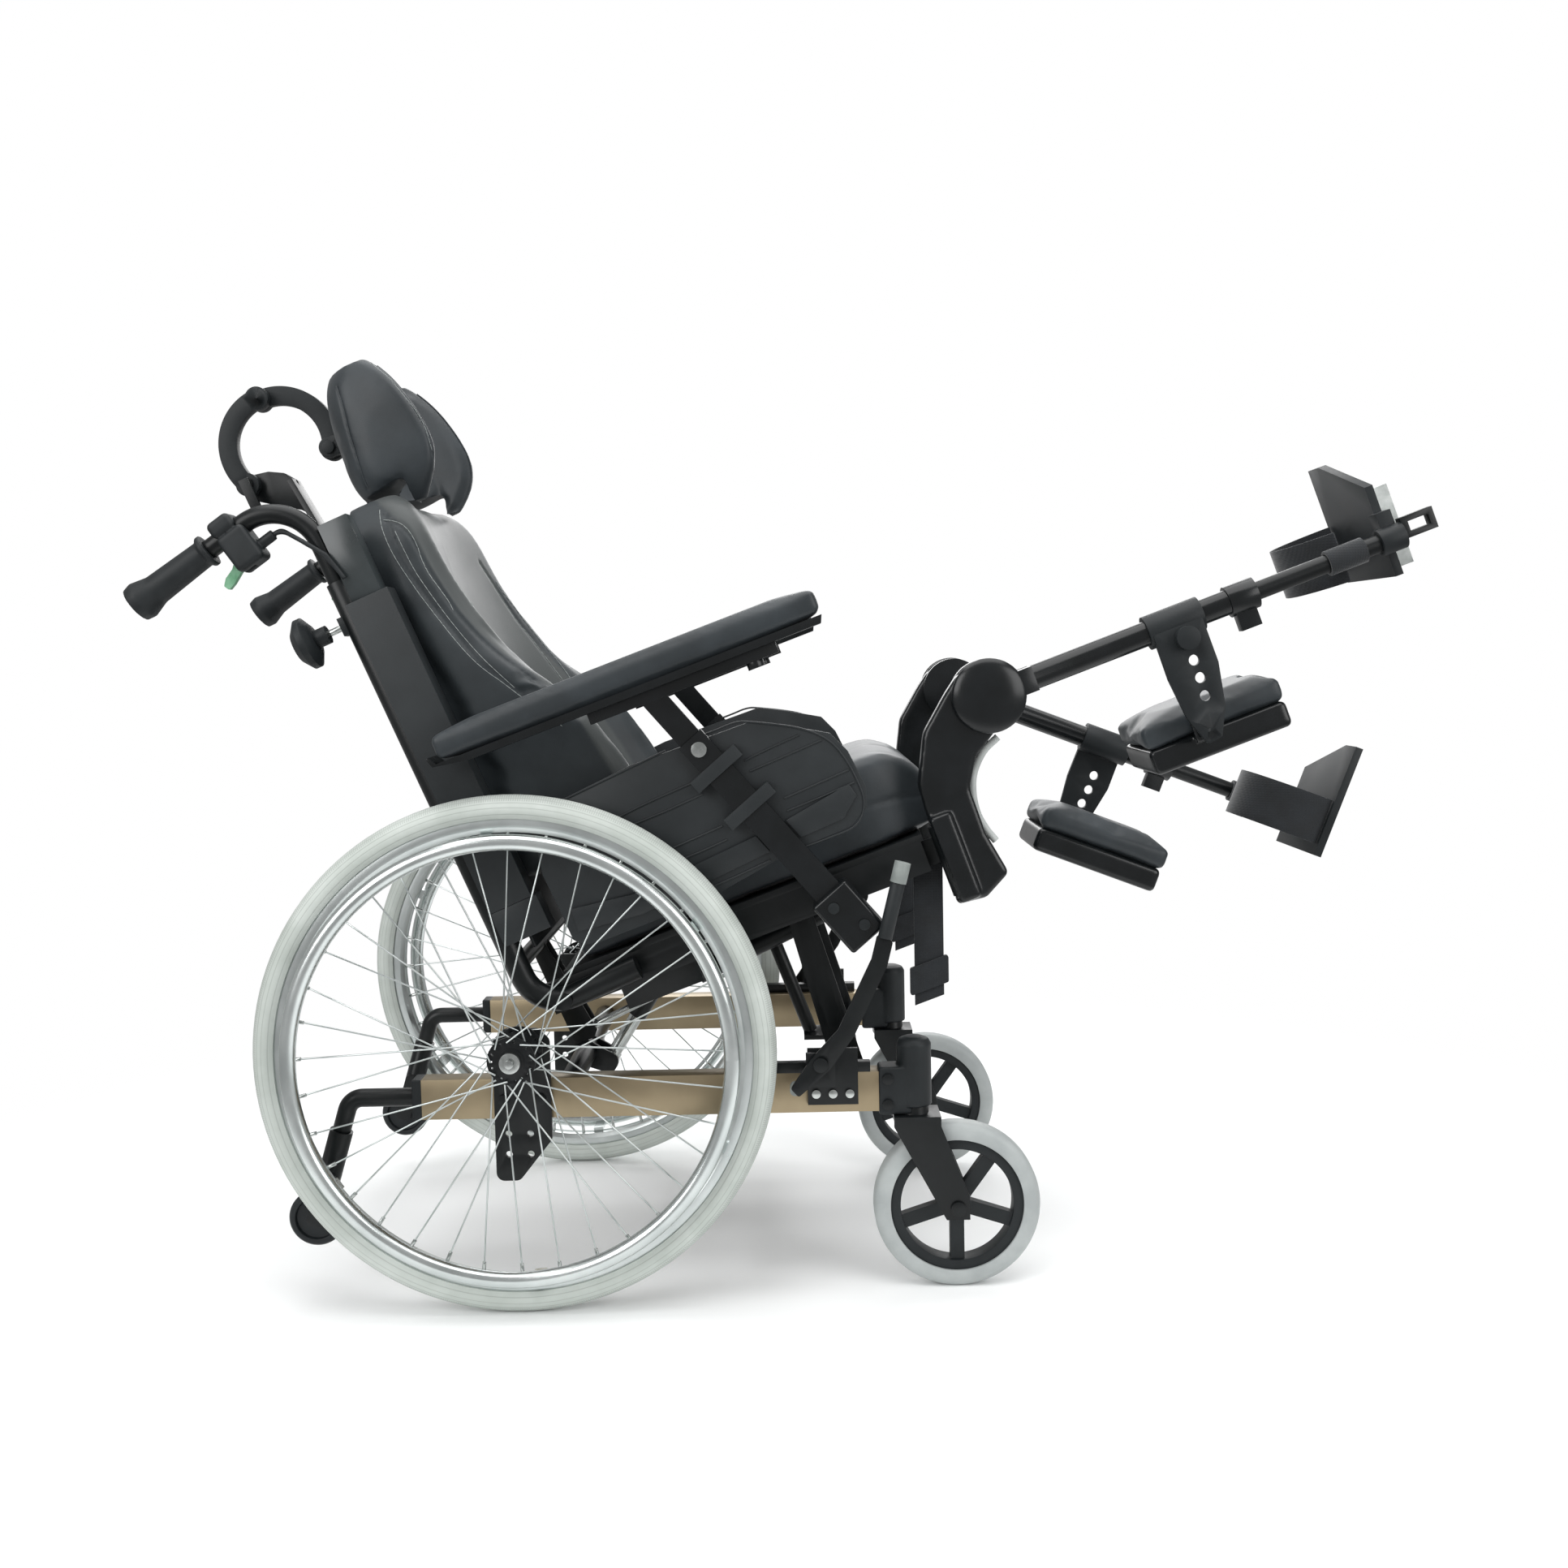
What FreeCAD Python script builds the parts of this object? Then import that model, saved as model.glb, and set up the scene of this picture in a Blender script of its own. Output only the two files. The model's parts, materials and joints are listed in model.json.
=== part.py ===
"""Tilt in space wheelchair: base, tilting seat, reclining back, legrests and wheels.

Millimetres. +X is forward, +Y is the user's left, +Z is up. The part's origin is on the
floor under the middle of the chair. Sizes are measured from the rear axle and the floor.
"""
import FreeCAD, Part
import math
import os
import Sketcher
from FreeCAD import Placement, Rotation, Vector

doc = FreeCAD.newDocument("tilt_in_space_wheelchair")
sheet = doc.addObject("Spreadsheet::Sheet", "sizes")

# Driving sizes, one group for each assembly.
SIZES = {
    "whole chair": {
        "origin_ahead": 325.6, "running_gap": 0.05, "face_gap": 0.3, "slide_gap": 0.1,
        "seat_tilt": 20, "back_lean": 3, "left_leg_drop": 41.2,
    },
    "rear wheel": {
        "tyre_radius": 305, "tyre_section": 17.5, "wheel_half_track": 285,
        "rim_outer": 278, "rim_inner": 262, "rim_half_width": 12.5, "rim_bed_half_width": 8,
        "rim_shoulder": 6, "hub_half_width": 31, "hub_core": 15, "flange_offset": 28,
        "flange_radius": 28, "flange_thickness": 3, "spoke_circle": 23, "spoke_hole": 1.5,
        "axle_radius": 6.3, "spoke_radius": 1, "spoke_count": 36, "spoke_cross": 60,
        "outer_spoke_stand": 4.6, "inner_spoke_stand": 2.7, "outer_rim_spread": 3.2,
        "inner_rim_spread": 0.6, "nipple_radius": 2.2, "nipple_length": 12, "nipple_gap": 0.4,
        "handrim_radius": 254, "handrim_section": 9.5, "handrim_offset": 38,
        "handrim_tabs": 6, "tab_width": 14, "tab_thickness": 6,
    },
    "base frame": {
        "tube_half_track": 225, "tube_width": 30, "tube_height": 48, "tube_wall": 2.5,
        "tube_low": 217.5, "tube_rear": -122, "tube_front": 425, "rear_cap": 11,
        "cross_radius": 14, "rear_cross_x": 47, "front_cross_x": 395, "cross_height": 241,
        "knuckle_x": 77, "knuckle_z": 227, "knuckle_pin": 5, "knuckle_ear": 5,
        "knuckle_ear_half_width": 19, "knuckle_ear_end": 12, "knuckle_ear_in": 15,
        "tilt_pivot_u": 467, "tilt_pivot_w": 321,
        "tilt_shaft": 8, "link_y": 150, "link_thickness": 8, "link_top_half": 15,
        "link_bottom_half": 20, "link_overhang": 14, "link_foot_overhang": 20, "stop_foot_x": 347,
        "stop_top_x": 298, "stop_top_z": 390, "stop_radius": 9,
        "stop_plate": 6, "stop_plate_half_width": 30,
        "axle_plate": 6, "axle_plate_top": 327, "axle_plate_low": 143, "axle_plate_front": 34,
        "axle_plate_rear": -34, "axle_plate_corner": 10, "plate_hole": 4.2,
        "plate_hole_low": 175, "plate_hole_pitch_x": 26, "plate_hole_pitch_z": 25,
        "plate_hole_rear": -18, "axle_collar": 14, "axle_nut": 12, "axle_nut_length": 9,
        "axle_tip_radius": 5, "axle_tip": 5, "bolt_head": 6.5, "bolt_head_height": 4,
    },
    "caster": {
        "stem_x": 468, "caster_radius": 100, "caster_trail": 49, "caster_half_track": 225,
        "caster_half_width": 16, "housing_radius": 20.5, "housing_low": 222,
        "housing_top": 296, "dome_height": 9, "clamp_start": 425, "clamp_half_width": 17,
        "clamp_low": 213, "clamp_top": 270, "stem_radius": 12, "stem_top": 286,
        "stem_bore_top": 288, "stem_flange": 17, "crown_low": 206,
        "crown_thickness": 6, "cheek_in": 21, "cheek_thickness": 5, "crown_rear": 26,
        "crown_front": 30, "cheek_foot": 14, "caster_axle": 6, "caster_axle_head": 9,
        "caster_axle_head_height": 4, "caster_hub": 17, "caster_hub_half_width": 19,
        "caster_rim_outer": 80, "caster_rim_inner": 68, "caster_rim_half_width": 13,
        "caster_spokes": 5, "caster_spoke_width": 17, "caster_spoke_half_thickness": 7,
        "caster_tread_half_width": 9, "caster_shoulder": 8,
    },
    "anti tipper": {
        "tipper_radius": 11, "tipper_start": -96, "tipper_corner_x": -211, "tipper_z": 242,
        "tipper_bend": 40, "tipper_lean": 17, "tipper_upper": 41, "tipper_sleeve": 14,
        "tipper_sleeve_length": 76, "tipper_wheel": 34, "tipper_wheel_half": 11,
        "tipper_drop": 151, "tipper_pin": 4, "tipper_fork": 4, "tipper_fork_half": 11,
        "tipper_hub_half": 12.5,
    },
    "brake": {
        "brake_x": 355, "brake_z": 290, "brake_plane": 295.3, "brake_lever_thickness": 6,
        "brake_pin": 5, "brake_shoe_back": 30, "brake_shoe_down": 32, "brake_shoe": 6,
        "brake_shoe_length": 24, "brake_grip_radius": 8.5, "brake_grip_length": 66,
        "brake_tip_radius": 9.5, "brake_tip_length": 24, "brake_lever_half_width": 9,
        "brake_ear_half_width": 17, "brake_foot_low": 228, "brake_foot_top": 296,
        "brake_shelf_z": 262, "brake_plate": 6, "brake_rail_rear": 262,
        "brake_rail_front": 415, "brake_rail_height": 12, "brake_rail_width": 14,
        "brake_foot_rear": 340, "brake_foot_front": 400,
    },
    "seat": {
        "rail_out": 208, "rail_width": 18, "rail_low": 302, "rail_top": 340,
        "rail_rear": 150, "rail_front": 636, "rail_wall": 2.5, "pan_thickness": 8,
        "pan_rear": 178, "pan_front": 640, "front_bar_u": 612, "front_bar_length": 24,
        "carrier_rear": 232, "carrier_front": 330, "carrier_low": 273, "carrier_inner": 105,
        "carrier_wall": 3, "carrier_bridge": 6, "cushion_rear": 196, "cushion_front": 679,
        "cushion_half_width": 203, "cushion_top": 455,
        "receiver_u": 664, "receiver_y": 199, "receiver_radius": 14, "receiver_low": 262,
        "receiver_top": 350, "hanger_pin": 8, "strap_width": 38, "strap_thickness": 2,
        "strap_length": 122, "strap_u": 636, "strap_y": 184,
        "buckle_thickness": 7,
    },
    "actuators": {
        "tilt_length": 174.92, "tilt_angle": 57.727, "tilt_body": 13, "tilt_body_length": 105,
        "tilt_rod": 9, "tilt_rod_reach": 145, "tilt_bore_stop": 17, "tilt_eye": 15,
        "tilt_eye_half": 12, "tilt_seat_u": 288, "tilt_seat_w": 294,
        "tilt_eye_hole": 10.6, "tilt_seat_pin": 4.5, "tilt_ear_in": 16, "tilt_ear": 5,
        "tilt_ear_half": 24, "knuckle_eye": 13, "knuckle_eye_half": 13,
        "recline_y": 60, "recline_u": 540, "recline_w": 285, "recline_length": 391.8,
        "recline_angle": 185.6, "recline_body": 14, "recline_body_length": 230,
        "recline_rod": 5, "recline_rod_reach": 200, "recline_bore_start": 148,
        "recline_eye": 12, "recline_eye_half": 10,
        "recline_pin": 5, "recline_eye_hole": 7.4, "recline_ear_in": 12, "recline_ear": 5,
        "recline_ear_half": 15, "recline_lug_x": -25, "recline_lug_z": -70,
    },
    "back": {
        "recline_pivot_u": 171.4, "recline_pivot_w": 318, "upright_x": -36,
        "upright_y": 223.5, "upright_radius": 14.5, "upright_top": 560, "upright_bend": 46,
        "arm_forward": 95, "handle_bore_depth": 260, "handle_radius": 11.5,
        "pivot_pin": 6, "cross_bar_radius": 10, "lower_cross_z": 60, "upper_cross_z": 470,
        "shell_rear": -13, "shell_thickness": 4, "shell_half_width": 205, "shell_low": 70,
        "shell_top": 600, "cover_front": 18, "cover_low": 131, "cover_split": 530,
        "cover_top": 627, "cover_out": 242, "cover_lip_rear": -36,
        "cover_inset": 6, "skirt_low": 88, "skirt_front": 24, "back_low": 145,
        "knob_z": 510, "knob_stud": 4, "knob_stud_length": 18,
        "knob_boss": 11, "knob_boss_length": 16, "knob_radius": 31, "knob_thickness": 24,
    },
    "push handle": {
        "handle_corner_z": 683, "handle_corner_reach": 124.8, "handle_turn": 12.2,
        "handle_bend": 60, "handle_start_z": 400, "grip_length": 104, "grip_radius": 15.5,
        "grip_swell": 17.5, "grip_flare": 23, "grip_collar": 19.5, "grip_collar_length": 5,
        "housing_start": 16, "housing_length": 36, "housing_up": 20,
        "housing_down": 47, "housing_half": 19, "housing_corner": 6, "lever_x": 23,
        "lever_z": -34, "lever_pin": 2.5, "lever_half": 4.5, "lever_slot_half": 5,
        "lever_slot_front": 34, "lever_slot_top": 22, "cable_gland": 6, "cable_radius": 2.5,
        "cable_gland_length": 20, "cable_gland_z": -31,
    },
    "headrest": {
        "head_bar_x": -58, "head_bar_z": 470, "head_bar_lean": 5.75, "head_bar_start": -50,
        "head_bar_length": 319, "head_bar_half": 18, "head_bar_thickness": 7,
        "head_arc_x": -80.5, "head_arc_z": 784.5,
        "head_arc_radius": 65.5, "head_band": 12, "head_arm": 13, "head_gap": 0.2,
        "head_eye": 15, "head_pin": 5, "head_joint_x": 58.5, "head_joint_z": 29.5,
        "head_pin_head": 8, "head_pin_head_height": 4, "head_lever_length": 42,
        "head_lever_width": 13, "head_sleeve_height": 90, "head_sleeve_wall": 4,
        "pad_half_width": 132, "pad_low": 642, "pad_back_x": 1, "pad_notch_x": 69, "pad_notch_z": 653.5,
        "pad_plate_half": 45,
    },
    "armrest": {
        "post_foot_u": 512, "post_foot_w": 331, "post_lean": 20.7, "post_width": 34,
        "post_depth": 12, "post_wall": 2.4, "post_mid_y": 262, "post_top": 240,
        "post_inside": 56, "slider_top": 308, "slider_start": 110, "socket_half": 25,
        "socket_out": 284, "socket_in": 241, "socket_length": 72,
        "panel_y": 253.5, "panel_thickness": 5, "loop_height": 16, "loop_half_length": 34,
        "loop_thickness": 3, "loop_low": 128, "loop_pitch": 58, "armpad_rear": 152,
        "armpad_front": 624, "armpad_low": 634, "armpad_y": 285, "armpad_half": 32,
        "armpad_height": 34, "tray_height": 9, "tray_half": 26, "beam_low": 612,
        "beam_half": 9, "beam_rear": 330, "beam_front": 560, "post_bolt": 9,
        "post_bolt_height": 4, "post_bolt_z": 224,
    },
    "legrest": {
        "knee_u": 772, "knee_w": 474.5, "leg_y": 205, "knee_radius": 43,
        "knee_half": 24, "knee_pin": 7, "leg_tube": 15, "leg_tube_end": 330,
        "leg_bore": 11.1, "leg_rod": 11, "leg_rod_end": 512,
        "leg_rod_in": 90, "collar_start": 304, "collar_length": 35, "collar_radius": 19,
        "collar_drop": 38, "hanger_thickness": 22,
        "box_low": 255, "box_top": 362,
        "calf_start": 202, "calf_length": 68, "calf_clamp": 20.5,
        "calf_plate": 8, "calf_pin": 5, "calf_pin_z": -133, "calf_pin_x": 231,
        "calf_pad_x": 157, "calf_pad_end": 339, "calf_pad_top": -106, "calf_pad_low": -168,
        "calf_pad_in": 34, "calf_pad_out": 186, "foot_x": 511, "foot_thickness": 10,
        "foot_low": -46, "foot_high": 108, "foot_in": 10, "foot_out": 178,
        "loop_length": 44, "loop_width": 26, "foot_strap": 62, "foot_strap_thickness": 2.5,
        "band_start": 430, "band_length": 46,
    },
}


class Size:
    """A number together with the sheet formula that gives it."""

    def __init__(self, value, formula):
        self.value = float(value)
        self.formula = formula

    def __float__(self):
        return self.value

    def __add__(self, other):
        return joined(self, "+", other, self.value + float(other))

    def __radd__(self, other):
        return joined(other, "+", self, float(other) + self.value)

    def __sub__(self, other):
        return joined(self, "-", other, self.value - float(other))

    def __rsub__(self, other):
        return joined(other, "-", self, float(other) - self.value)

    def __mul__(self, other):
        return joined(self, "*", other, self.value * float(other))

    def __rmul__(self, other):
        return joined(other, "*", self, float(other) * self.value)

    def __truediv__(self, other):
        return joined(self, "/", other, self.value / float(other))

    def __neg__(self):
        return joined(0, "-", self, -self.value)


def formula_of(value):
    """The text of a size or of a plain number in a formula."""
    return value.formula if isinstance(value, Size) else repr(float(value))


def joined(left, sign, right, value):
    return Size(value, f"({formula_of(left)} {sign} {formula_of(right)})")


class Sizes:
    """The driving sizes, read by name."""


def fill_sheet():
    """Write every driving size into the sheet and give back the sizes by name."""
    sizes = Sizes()
    row = 0
    for group, values in SIZES.items():
        row += 1
        sheet.set(f"A{row}", group)
        for name, value in values.items():
            row += 1
            sheet.set(f"A{row}", name.replace("_", " "))
            sheet.set(f"B{row}", str(value))
            sheet.setAlias(f"B{row}", name)
            setattr(sizes, name, Size(value, f"sizes.{name}"))
    doc.recompute()
    return sizes


S = fill_sheet()


# Placements

def frame(x, z, lean):
    """A frame at x and z, whose upward axis leans towards +X by so many degrees."""
    return Placement(Vector(float(x), 0, float(z)), Rotation(Vector(0, 1, 0), float(lean)))


BASE = frame(-S.origin_ahead, 0, 0)
SEAT = BASE * frame(0, 0, -S.seat_tilt)
BACK = SEAT * frame(S.recline_pivot_u, S.recline_pivot_w, -S.back_lean)
ARM = SEAT * frame(S.post_foot_u, S.post_foot_w, -S.post_lean)
RIGHT_LEG = SEAT * frame(S.knee_u, S.knee_w, 0)
LEFT_LEG = SEAT * frame(S.knee_u, S.knee_w, S.left_leg_drop)
WHEEL = BASE * frame(0, S.tyre_radius, 0)
CASTER = BASE * frame(S.stem_x, 0, 0)
TILT_ACTUATOR = BASE * frame(S.knuckle_x, S.knuckle_z, 90 - S.tilt_angle)
RECLINE_ACTUATOR = SEAT * frame(S.recline_u, S.recline_w, 90 - S.recline_angle)


def handle_frame():
    """The frame at the start of the grip, with +X along the grip towards the bend."""
    turn = math.radians(float(S.handle_turn))
    reach = float(S.handle_corner_reach)
    x = float(S.upright_x) - reach * math.cos(turn)
    z = float(S.handle_corner_z) - reach * math.sin(turn)
    return BACK * frame(x, z, -S.handle_turn)


HANDLE = handle_frame()


# Building blocks

def bind(item, prop, size):
    """Tie one property to the sheet, or set it where the size is a plain number."""
    if isinstance(size, Size):
        item.setExpression(prop, size.formula)
    elif not prop.startswith("Placement"):
        setattr(item, prop, float(size))


def put(item, at, turn=None):
    """Place an item at a point, with its coordinates tied to the sheet."""
    item.Placement = Placement(Vector(*[float(value) for value in at]), turn or Rotation())
    for axis, value in zip("xyz", at):
        bind(item, f"Placement.Base.{axis}", value)
    return item


def box(name, x, y, z):
    """A box from its lowest to its highest x, y and z."""
    item = doc.addObject("Part::Box", name)
    bind(item, "Length", x[1] - x[0])
    bind(item, "Width", y[1] - y[0])
    bind(item, "Height", z[1] - z[0])
    return put(item, (x[0], y[0], z[0]))


def rounded_box(name, x, y, z, corner):
    """A box whose edges are all rounded."""
    body = doc.addObject("PartDesign::Body", name)
    block = body.newObject("PartDesign::AdditiveBox", name + "_block")
    bind(block, "Length", x[1] - x[0])
    bind(block, "Width", y[1] - y[0])
    bind(block, "Height", z[1] - z[0])
    doc.recompute()
    edges = body.newObject("PartDesign::Fillet", name + "_corners")
    edges.Base = (block, [f"Edge{number + 1}" for number in range(len(block.Shape.Edges))])
    bind(edges, "Radius", corner)
    return put(body, (x[0], y[0], z[0]))


TURNS = {"X": Rotation(Vector(0, 1, 0), 90), "Y": Rotation(Vector(1, 0, 0), -90), "Z": Rotation()}


def rod(name, radius, start, axis, length):
    """A round bar from a start point along +X, +Y or +Z."""
    item = doc.addObject("Part::Cylinder", name)
    bind(item, "Radius", radius)
    bind(item, "Height", length)
    return put(item, start, TURNS[axis])


def rod_between(name, radius, start, end):
    """A round bar between two points."""
    first = Vector(*[float(value) for value in start])
    last = Vector(*[float(value) for value in end])
    item = doc.addObject("Part::Cylinder", name)
    bind(item, "Radius", radius)
    item.Height = (last - first).Length
    return put(item, start, Rotation(Vector(0, 0, 1), last - first))


def ring(name, major, minor, centre, axis):
    item = doc.addObject("Part::Torus", name)
    bind(item, "Radius1", major)
    bind(item, "Radius2", minor)
    return put(item, centre, TURNS[axis])


def fuse(name, pieces):
    item = doc.addObject("Part::MultiFuse", name)
    item.Shapes = pieces
    item.Refine = True
    return item


def group(name, pieces):
    item = doc.addObject("Part::Compound", name)
    item.Links = pieces
    return item


def cut(name, base, tools):
    """A piece with one or more tools taken away."""
    item = doc.addObject("Part::Cut", name)
    item.Base = base
    item.Tool = tools[0] if len(tools) == 1 else fuse(name + "_tools", tools)
    return item


def tube(name, outer, inner, start, axis, length):
    """A round tube from a start point along +X, +Y or +Z."""
    wall = rod(name + "_outside", outer, start, axis, length)
    bore = rod(name + "_bore", inner, start, axis, length)
    return cut(name, wall, [bore])


PLANES = {"XY": "XY_Plane", "XZ": "XZ_Plane", "YZ": "YZ_Plane"}


def sketch_on(body, name, plane, outline, holes=()):
    """A sketch of one closed outline and round holes, each point tied to the sheet."""
    sketch = body.newObject("Sketcher::SketchObject", name)
    role = PLANES[plane]
    support = [item for item in body.Origin.OriginFeatures if item.Role == role][0]
    sketch.AttachmentSupport = (support, [""])
    sketch.MapMode = "FlatFace"
    corners = [Vector(float(a), float(b), 0) for a, b in outline]
    count = len(corners)
    for number in range(count):
        line = Part.LineSegment(corners[number], corners[(number + 1) % count])
        sketch.addGeometry(line, False)
    for number in range(count):
        sketch.addConstraint(Sketcher.Constraint("Coincident", number, 2, (number + 1) % count, 1))
    for number, point in enumerate(outline):
        pin_point(sketch, number, 1, point)
    for centre_a, centre_b, radius in holes:
        circle = Part.Circle(Vector(float(centre_a), float(centre_b), 0), Vector(0, 0, 1), float(radius))
        number = sketch.addGeometry(circle, False)
        pin_point(sketch, number, 3, (centre_a, centre_b))
        limit = sketch.addConstraint(Sketcher.Constraint("Radius", number, float(radius)))
        bind(sketch, f"Constraints[{limit}]", radius) if isinstance(radius, Size) else None
    return sketch


def pin_point(sketch, number, end, point):
    """Hold one point of a sketch at its distances from the origin."""
    for kind, value in zip(("DistanceX", "DistanceY"), point):
        limit = sketch.addConstraint(Sketcher.Constraint(kind, -1, 1, number, end, float(value)))
        if isinstance(value, Size):
            sketch.setExpression(f"Constraints[{limit}]", value.formula)


def plate(name, plane, outline, thickness, at, corner=None, holes=()):
    """A flat plate, centred on its plane, with rounded corners and round holes."""
    body = doc.addObject("PartDesign::Body", name)
    sketch = sketch_on(body, name + "_outline", plane, outline, holes)
    pad = body.newObject("PartDesign::Pad", name + "_pad")
    pad.Profile = sketch
    pad.SideType = "Symmetric"
    bind(pad, "Length", thickness)
    if corner is not None:
        doc.recompute()
        across = {"XY": "z", "XZ": "y", "YZ": "x"}[plane]
        edges = [f"Edge{number + 1}" for number, edge in enumerate(pad.Shape.Edges)
                 if edge.Curve.TypeId == "Part::GeomLine"
                 and abs(getattr(edge.tangentAt(edge.FirstParameter), across)) > 0.99]
        rounds = body.newObject("PartDesign::Fillet", name + "_corners")
        rounds.Base = (pad, edges)
        bind(rounds, "Radius", corner)
    return put(body, at)


def lathe(name, profile, at, axis="Y", turn=None):
    """A turned piece: the profile gives (radius, distance along the axis)."""
    body = doc.addObject("PartDesign::Body", name)
    sketch = sketch_on(body, name + "_profile", "XZ", profile)
    spin = body.newObject("PartDesign::Revolution", name + "_turned")
    spin.Profile = sketch
    spin.ReferenceAxis = (sketch, ["V_Axis"])
    spin.Angle = 360
    return put(body, at, turn or TURNS[axis])


def route_with_bends(points, bend):
    """Straight runs between the points, joined by tangent arcs of the bend radius."""
    edges = []
    start = points[0]
    for before, corner, after in zip(points, points[1:], points[2:]):
        into = (corner - before).normalize()
        out = (after - corner).normalize()
        half_turn = into.getAngle(out) / 2
        setback = bend * math.tan(half_turn)
        enter = corner - into * setback
        leave = corner + out * setback
        inward = (out - into).normalize()
        middle = corner + inward * (bend / math.cos(half_turn) - bend)
        edges.append(Part.LineSegment(start, enter).toShape())
        edges.append(Part.Arc(enter, middle, leave).toShape())
        start = leave
    edges.append(Part.LineSegment(start, points[-1]).toShape())
    return Part.Wire(edges)


def bent_rod(name, radius, points, bend):
    """A round bar along a route with bends, given by (x, y, z) points."""
    corners = [Vector(*[float(value) for value in point]) for point in points]
    path = doc.addObject("Part::Feature", name + "_path")
    path.Shape = route_with_bends(corners, float(bend))
    section = doc.addObject("Part::Circle", name + "_section")
    bind(section, "Radius", radius)
    put(section, points[0], Rotation(Vector(0, 0, 1), corners[1] - corners[0]))
    item = doc.addObject("Part::Sweep", name)
    item.Sections = [section]
    item.Spine = (path, [f"Edge{number + 1}" for number in range(len(path.Shape.Edges))])
    item.Solid = True
    return item


def strip_between(start, end, half_start, half_end, overhang, end_overhang=None):
    """The four corners of a flat link that reaches past both of its end points."""
    x0, z0 = [float(value) for value in start]
    x1, z1 = [float(value) for value in end]
    length = math.hypot(x1 - x0, z1 - z0)
    along = ((x1 - x0) / length, (z1 - z0) / length)
    over = float(overhang)
    over_end = float(end_overhang or overhang)
    first = (x0 - along[0] * over, z0 - along[1] * over)
    last = (x1 + along[0] * over_end, z1 + along[1] * over_end)
    side0, side1 = float(half_start), float(half_end)
    return [(first[0] - along[1] * side0, first[1] + along[0] * side0),
            (first[0] + along[1] * side0, first[1] - along[0] * side0),
            (last[0] + along[1] * side1, last[1] - along[0] * side1),
            (last[0] - along[1] * side1, last[1] + along[0] * side1)]


def solid_through(name, sections, ruled=False):
    """A soft form lofted through closed sections."""
    item = doc.addObject("Part::Feature", name)
    item.Shape = Part.makeLoft(sections, True, ruled)
    return item


def arc(first, middle, last):
    return Part.Arc(Vector(*first), Vector(*middle), Vector(*last)).toShape()


def line(first, last):
    return Part.LineSegment(Vector(*first), Vector(*last)).toShape()


NODES = []


def node(label, pieces, placement):
    """One named sub-part: its pieces in one compound, placed in the chair."""
    item = group(label, pieces)
    item.Label = label
    item.Placement = placement
    NODES.append(item)
    return item


def mirrored(pieces):
    """The mirror images of pieces built on the right-hand side."""
    images = []
    for piece in pieces:
        image = doc.addObject("Part::Mirroring", piece.Name + "_image")
        image.Source = piece
        image.Normal = Vector(0, 1, 0)
        images.append(image)
    return images


def both_sides(pieces):
    """The right-hand pieces together with their mirror images."""
    return pieces + mirrored(pieces)


def pair(label, pieces, right, left=None):
    """A right-hand sub-part and its mirror image on the left."""
    node(label + "_right", pieces, right)
    node(label + "_left", mirrored(pieces), left or right)


# Rear wheels

def make_tyre():
    plane = -S.wheel_half_track
    carcass = ring("tyre_carcass", S.tyre_radius - S.tyre_section, S.tyre_section, (0, plane, 0), "Y")
    bed = rod("tyre_bed", S.rim_outer, (0, plane - S.tyre_section, 0), "Y", 2 * S.tyre_section)
    return [cut("tyre", carcass, [bed])]


def make_hub():
    half, flange, thick = S.hub_half_width, S.flange_offset, S.flange_thickness / 2
    bore, core, edge = S.axle_radius + S.running_gap, S.hub_core, S.flange_radius
    profile = [(bore, -half), (core, -half), (core, -flange - thick), (edge, -flange - thick),
               (edge, -flange + thick), (core, thick - flange), (core, flange - thick),
               (edge, flange - thick), (edge, flange + thick), (core, flange + thick),
               (core, half), (bore, half)]
    shell = lathe("hub_shell", profile, (0, -S.wheel_half_track, 0))
    holes = []
    count = int(float(S.spoke_count) / 2)
    for side in (-1, 1):
        for number in range(count):
            angle = math.radians((number + (0.5 if side > 0 else 0)) * 360 / count)
            x = float(S.spoke_circle) * math.cos(angle)
            z = float(S.spoke_circle) * math.sin(angle)
            start = (x, side * flange - S.wheel_half_track - S.flange_thickness, z)
            holes.append(rod("spoke_hole", S.spoke_hole, start, "Y", 2 * S.flange_thickness))
    return cut("hub", shell, [group("spoke_holes", holes)])


def make_spokes():
    """Spokes crossed three times, each flange's leading ones outside its trailing ones."""
    pieces = []
    count = int(float(S.spoke_count) / 4)
    pitch = 360 / count
    for side in (-1, 1):
        for number in range(count):
            for leading in (True, False):
                rim_turn = (number + (0 if leading else 0.5) + (0.25 if side > 0 else 0)) * pitch
                cross = float(S.spoke_cross) * (1 if leading else -1)
                pieces += make_spoke(side, rim_turn, rim_turn + cross, leading)
    return pieces


def make_spoke(side, rim_turn, hub_turn, outside):
    stand = S.outer_spoke_stand if outside else -S.inner_spoke_stand
    spread = S.outer_rim_spread if outside else S.inner_rim_spread
    plane = -float(S.wheel_half_track)
    rim_radius = float(S.rim_inner - S.nipple_gap)
    hub_point = Vector(float(S.spoke_circle) * math.cos(math.radians(hub_turn)),
                       plane + side * float(S.flange_offset + stand),
                       float(S.spoke_circle) * math.sin(math.radians(hub_turn)))
    rim_point = Vector(rim_radius * math.cos(math.radians(rim_turn)), plane + side * float(spread),
                       rim_radius * math.sin(math.radians(rim_turn)))
    inward = (hub_point - rim_point).normalize()
    joint = rim_point + inward * float(S.nipple_length)
    wire = rod_between("spoke", S.spoke_radius, tuple(hub_point), tuple(joint))
    nipple = rod_between("nipple", S.nipple_radius, tuple(joint), tuple(rim_point))
    return [wire, nipple]


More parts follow.
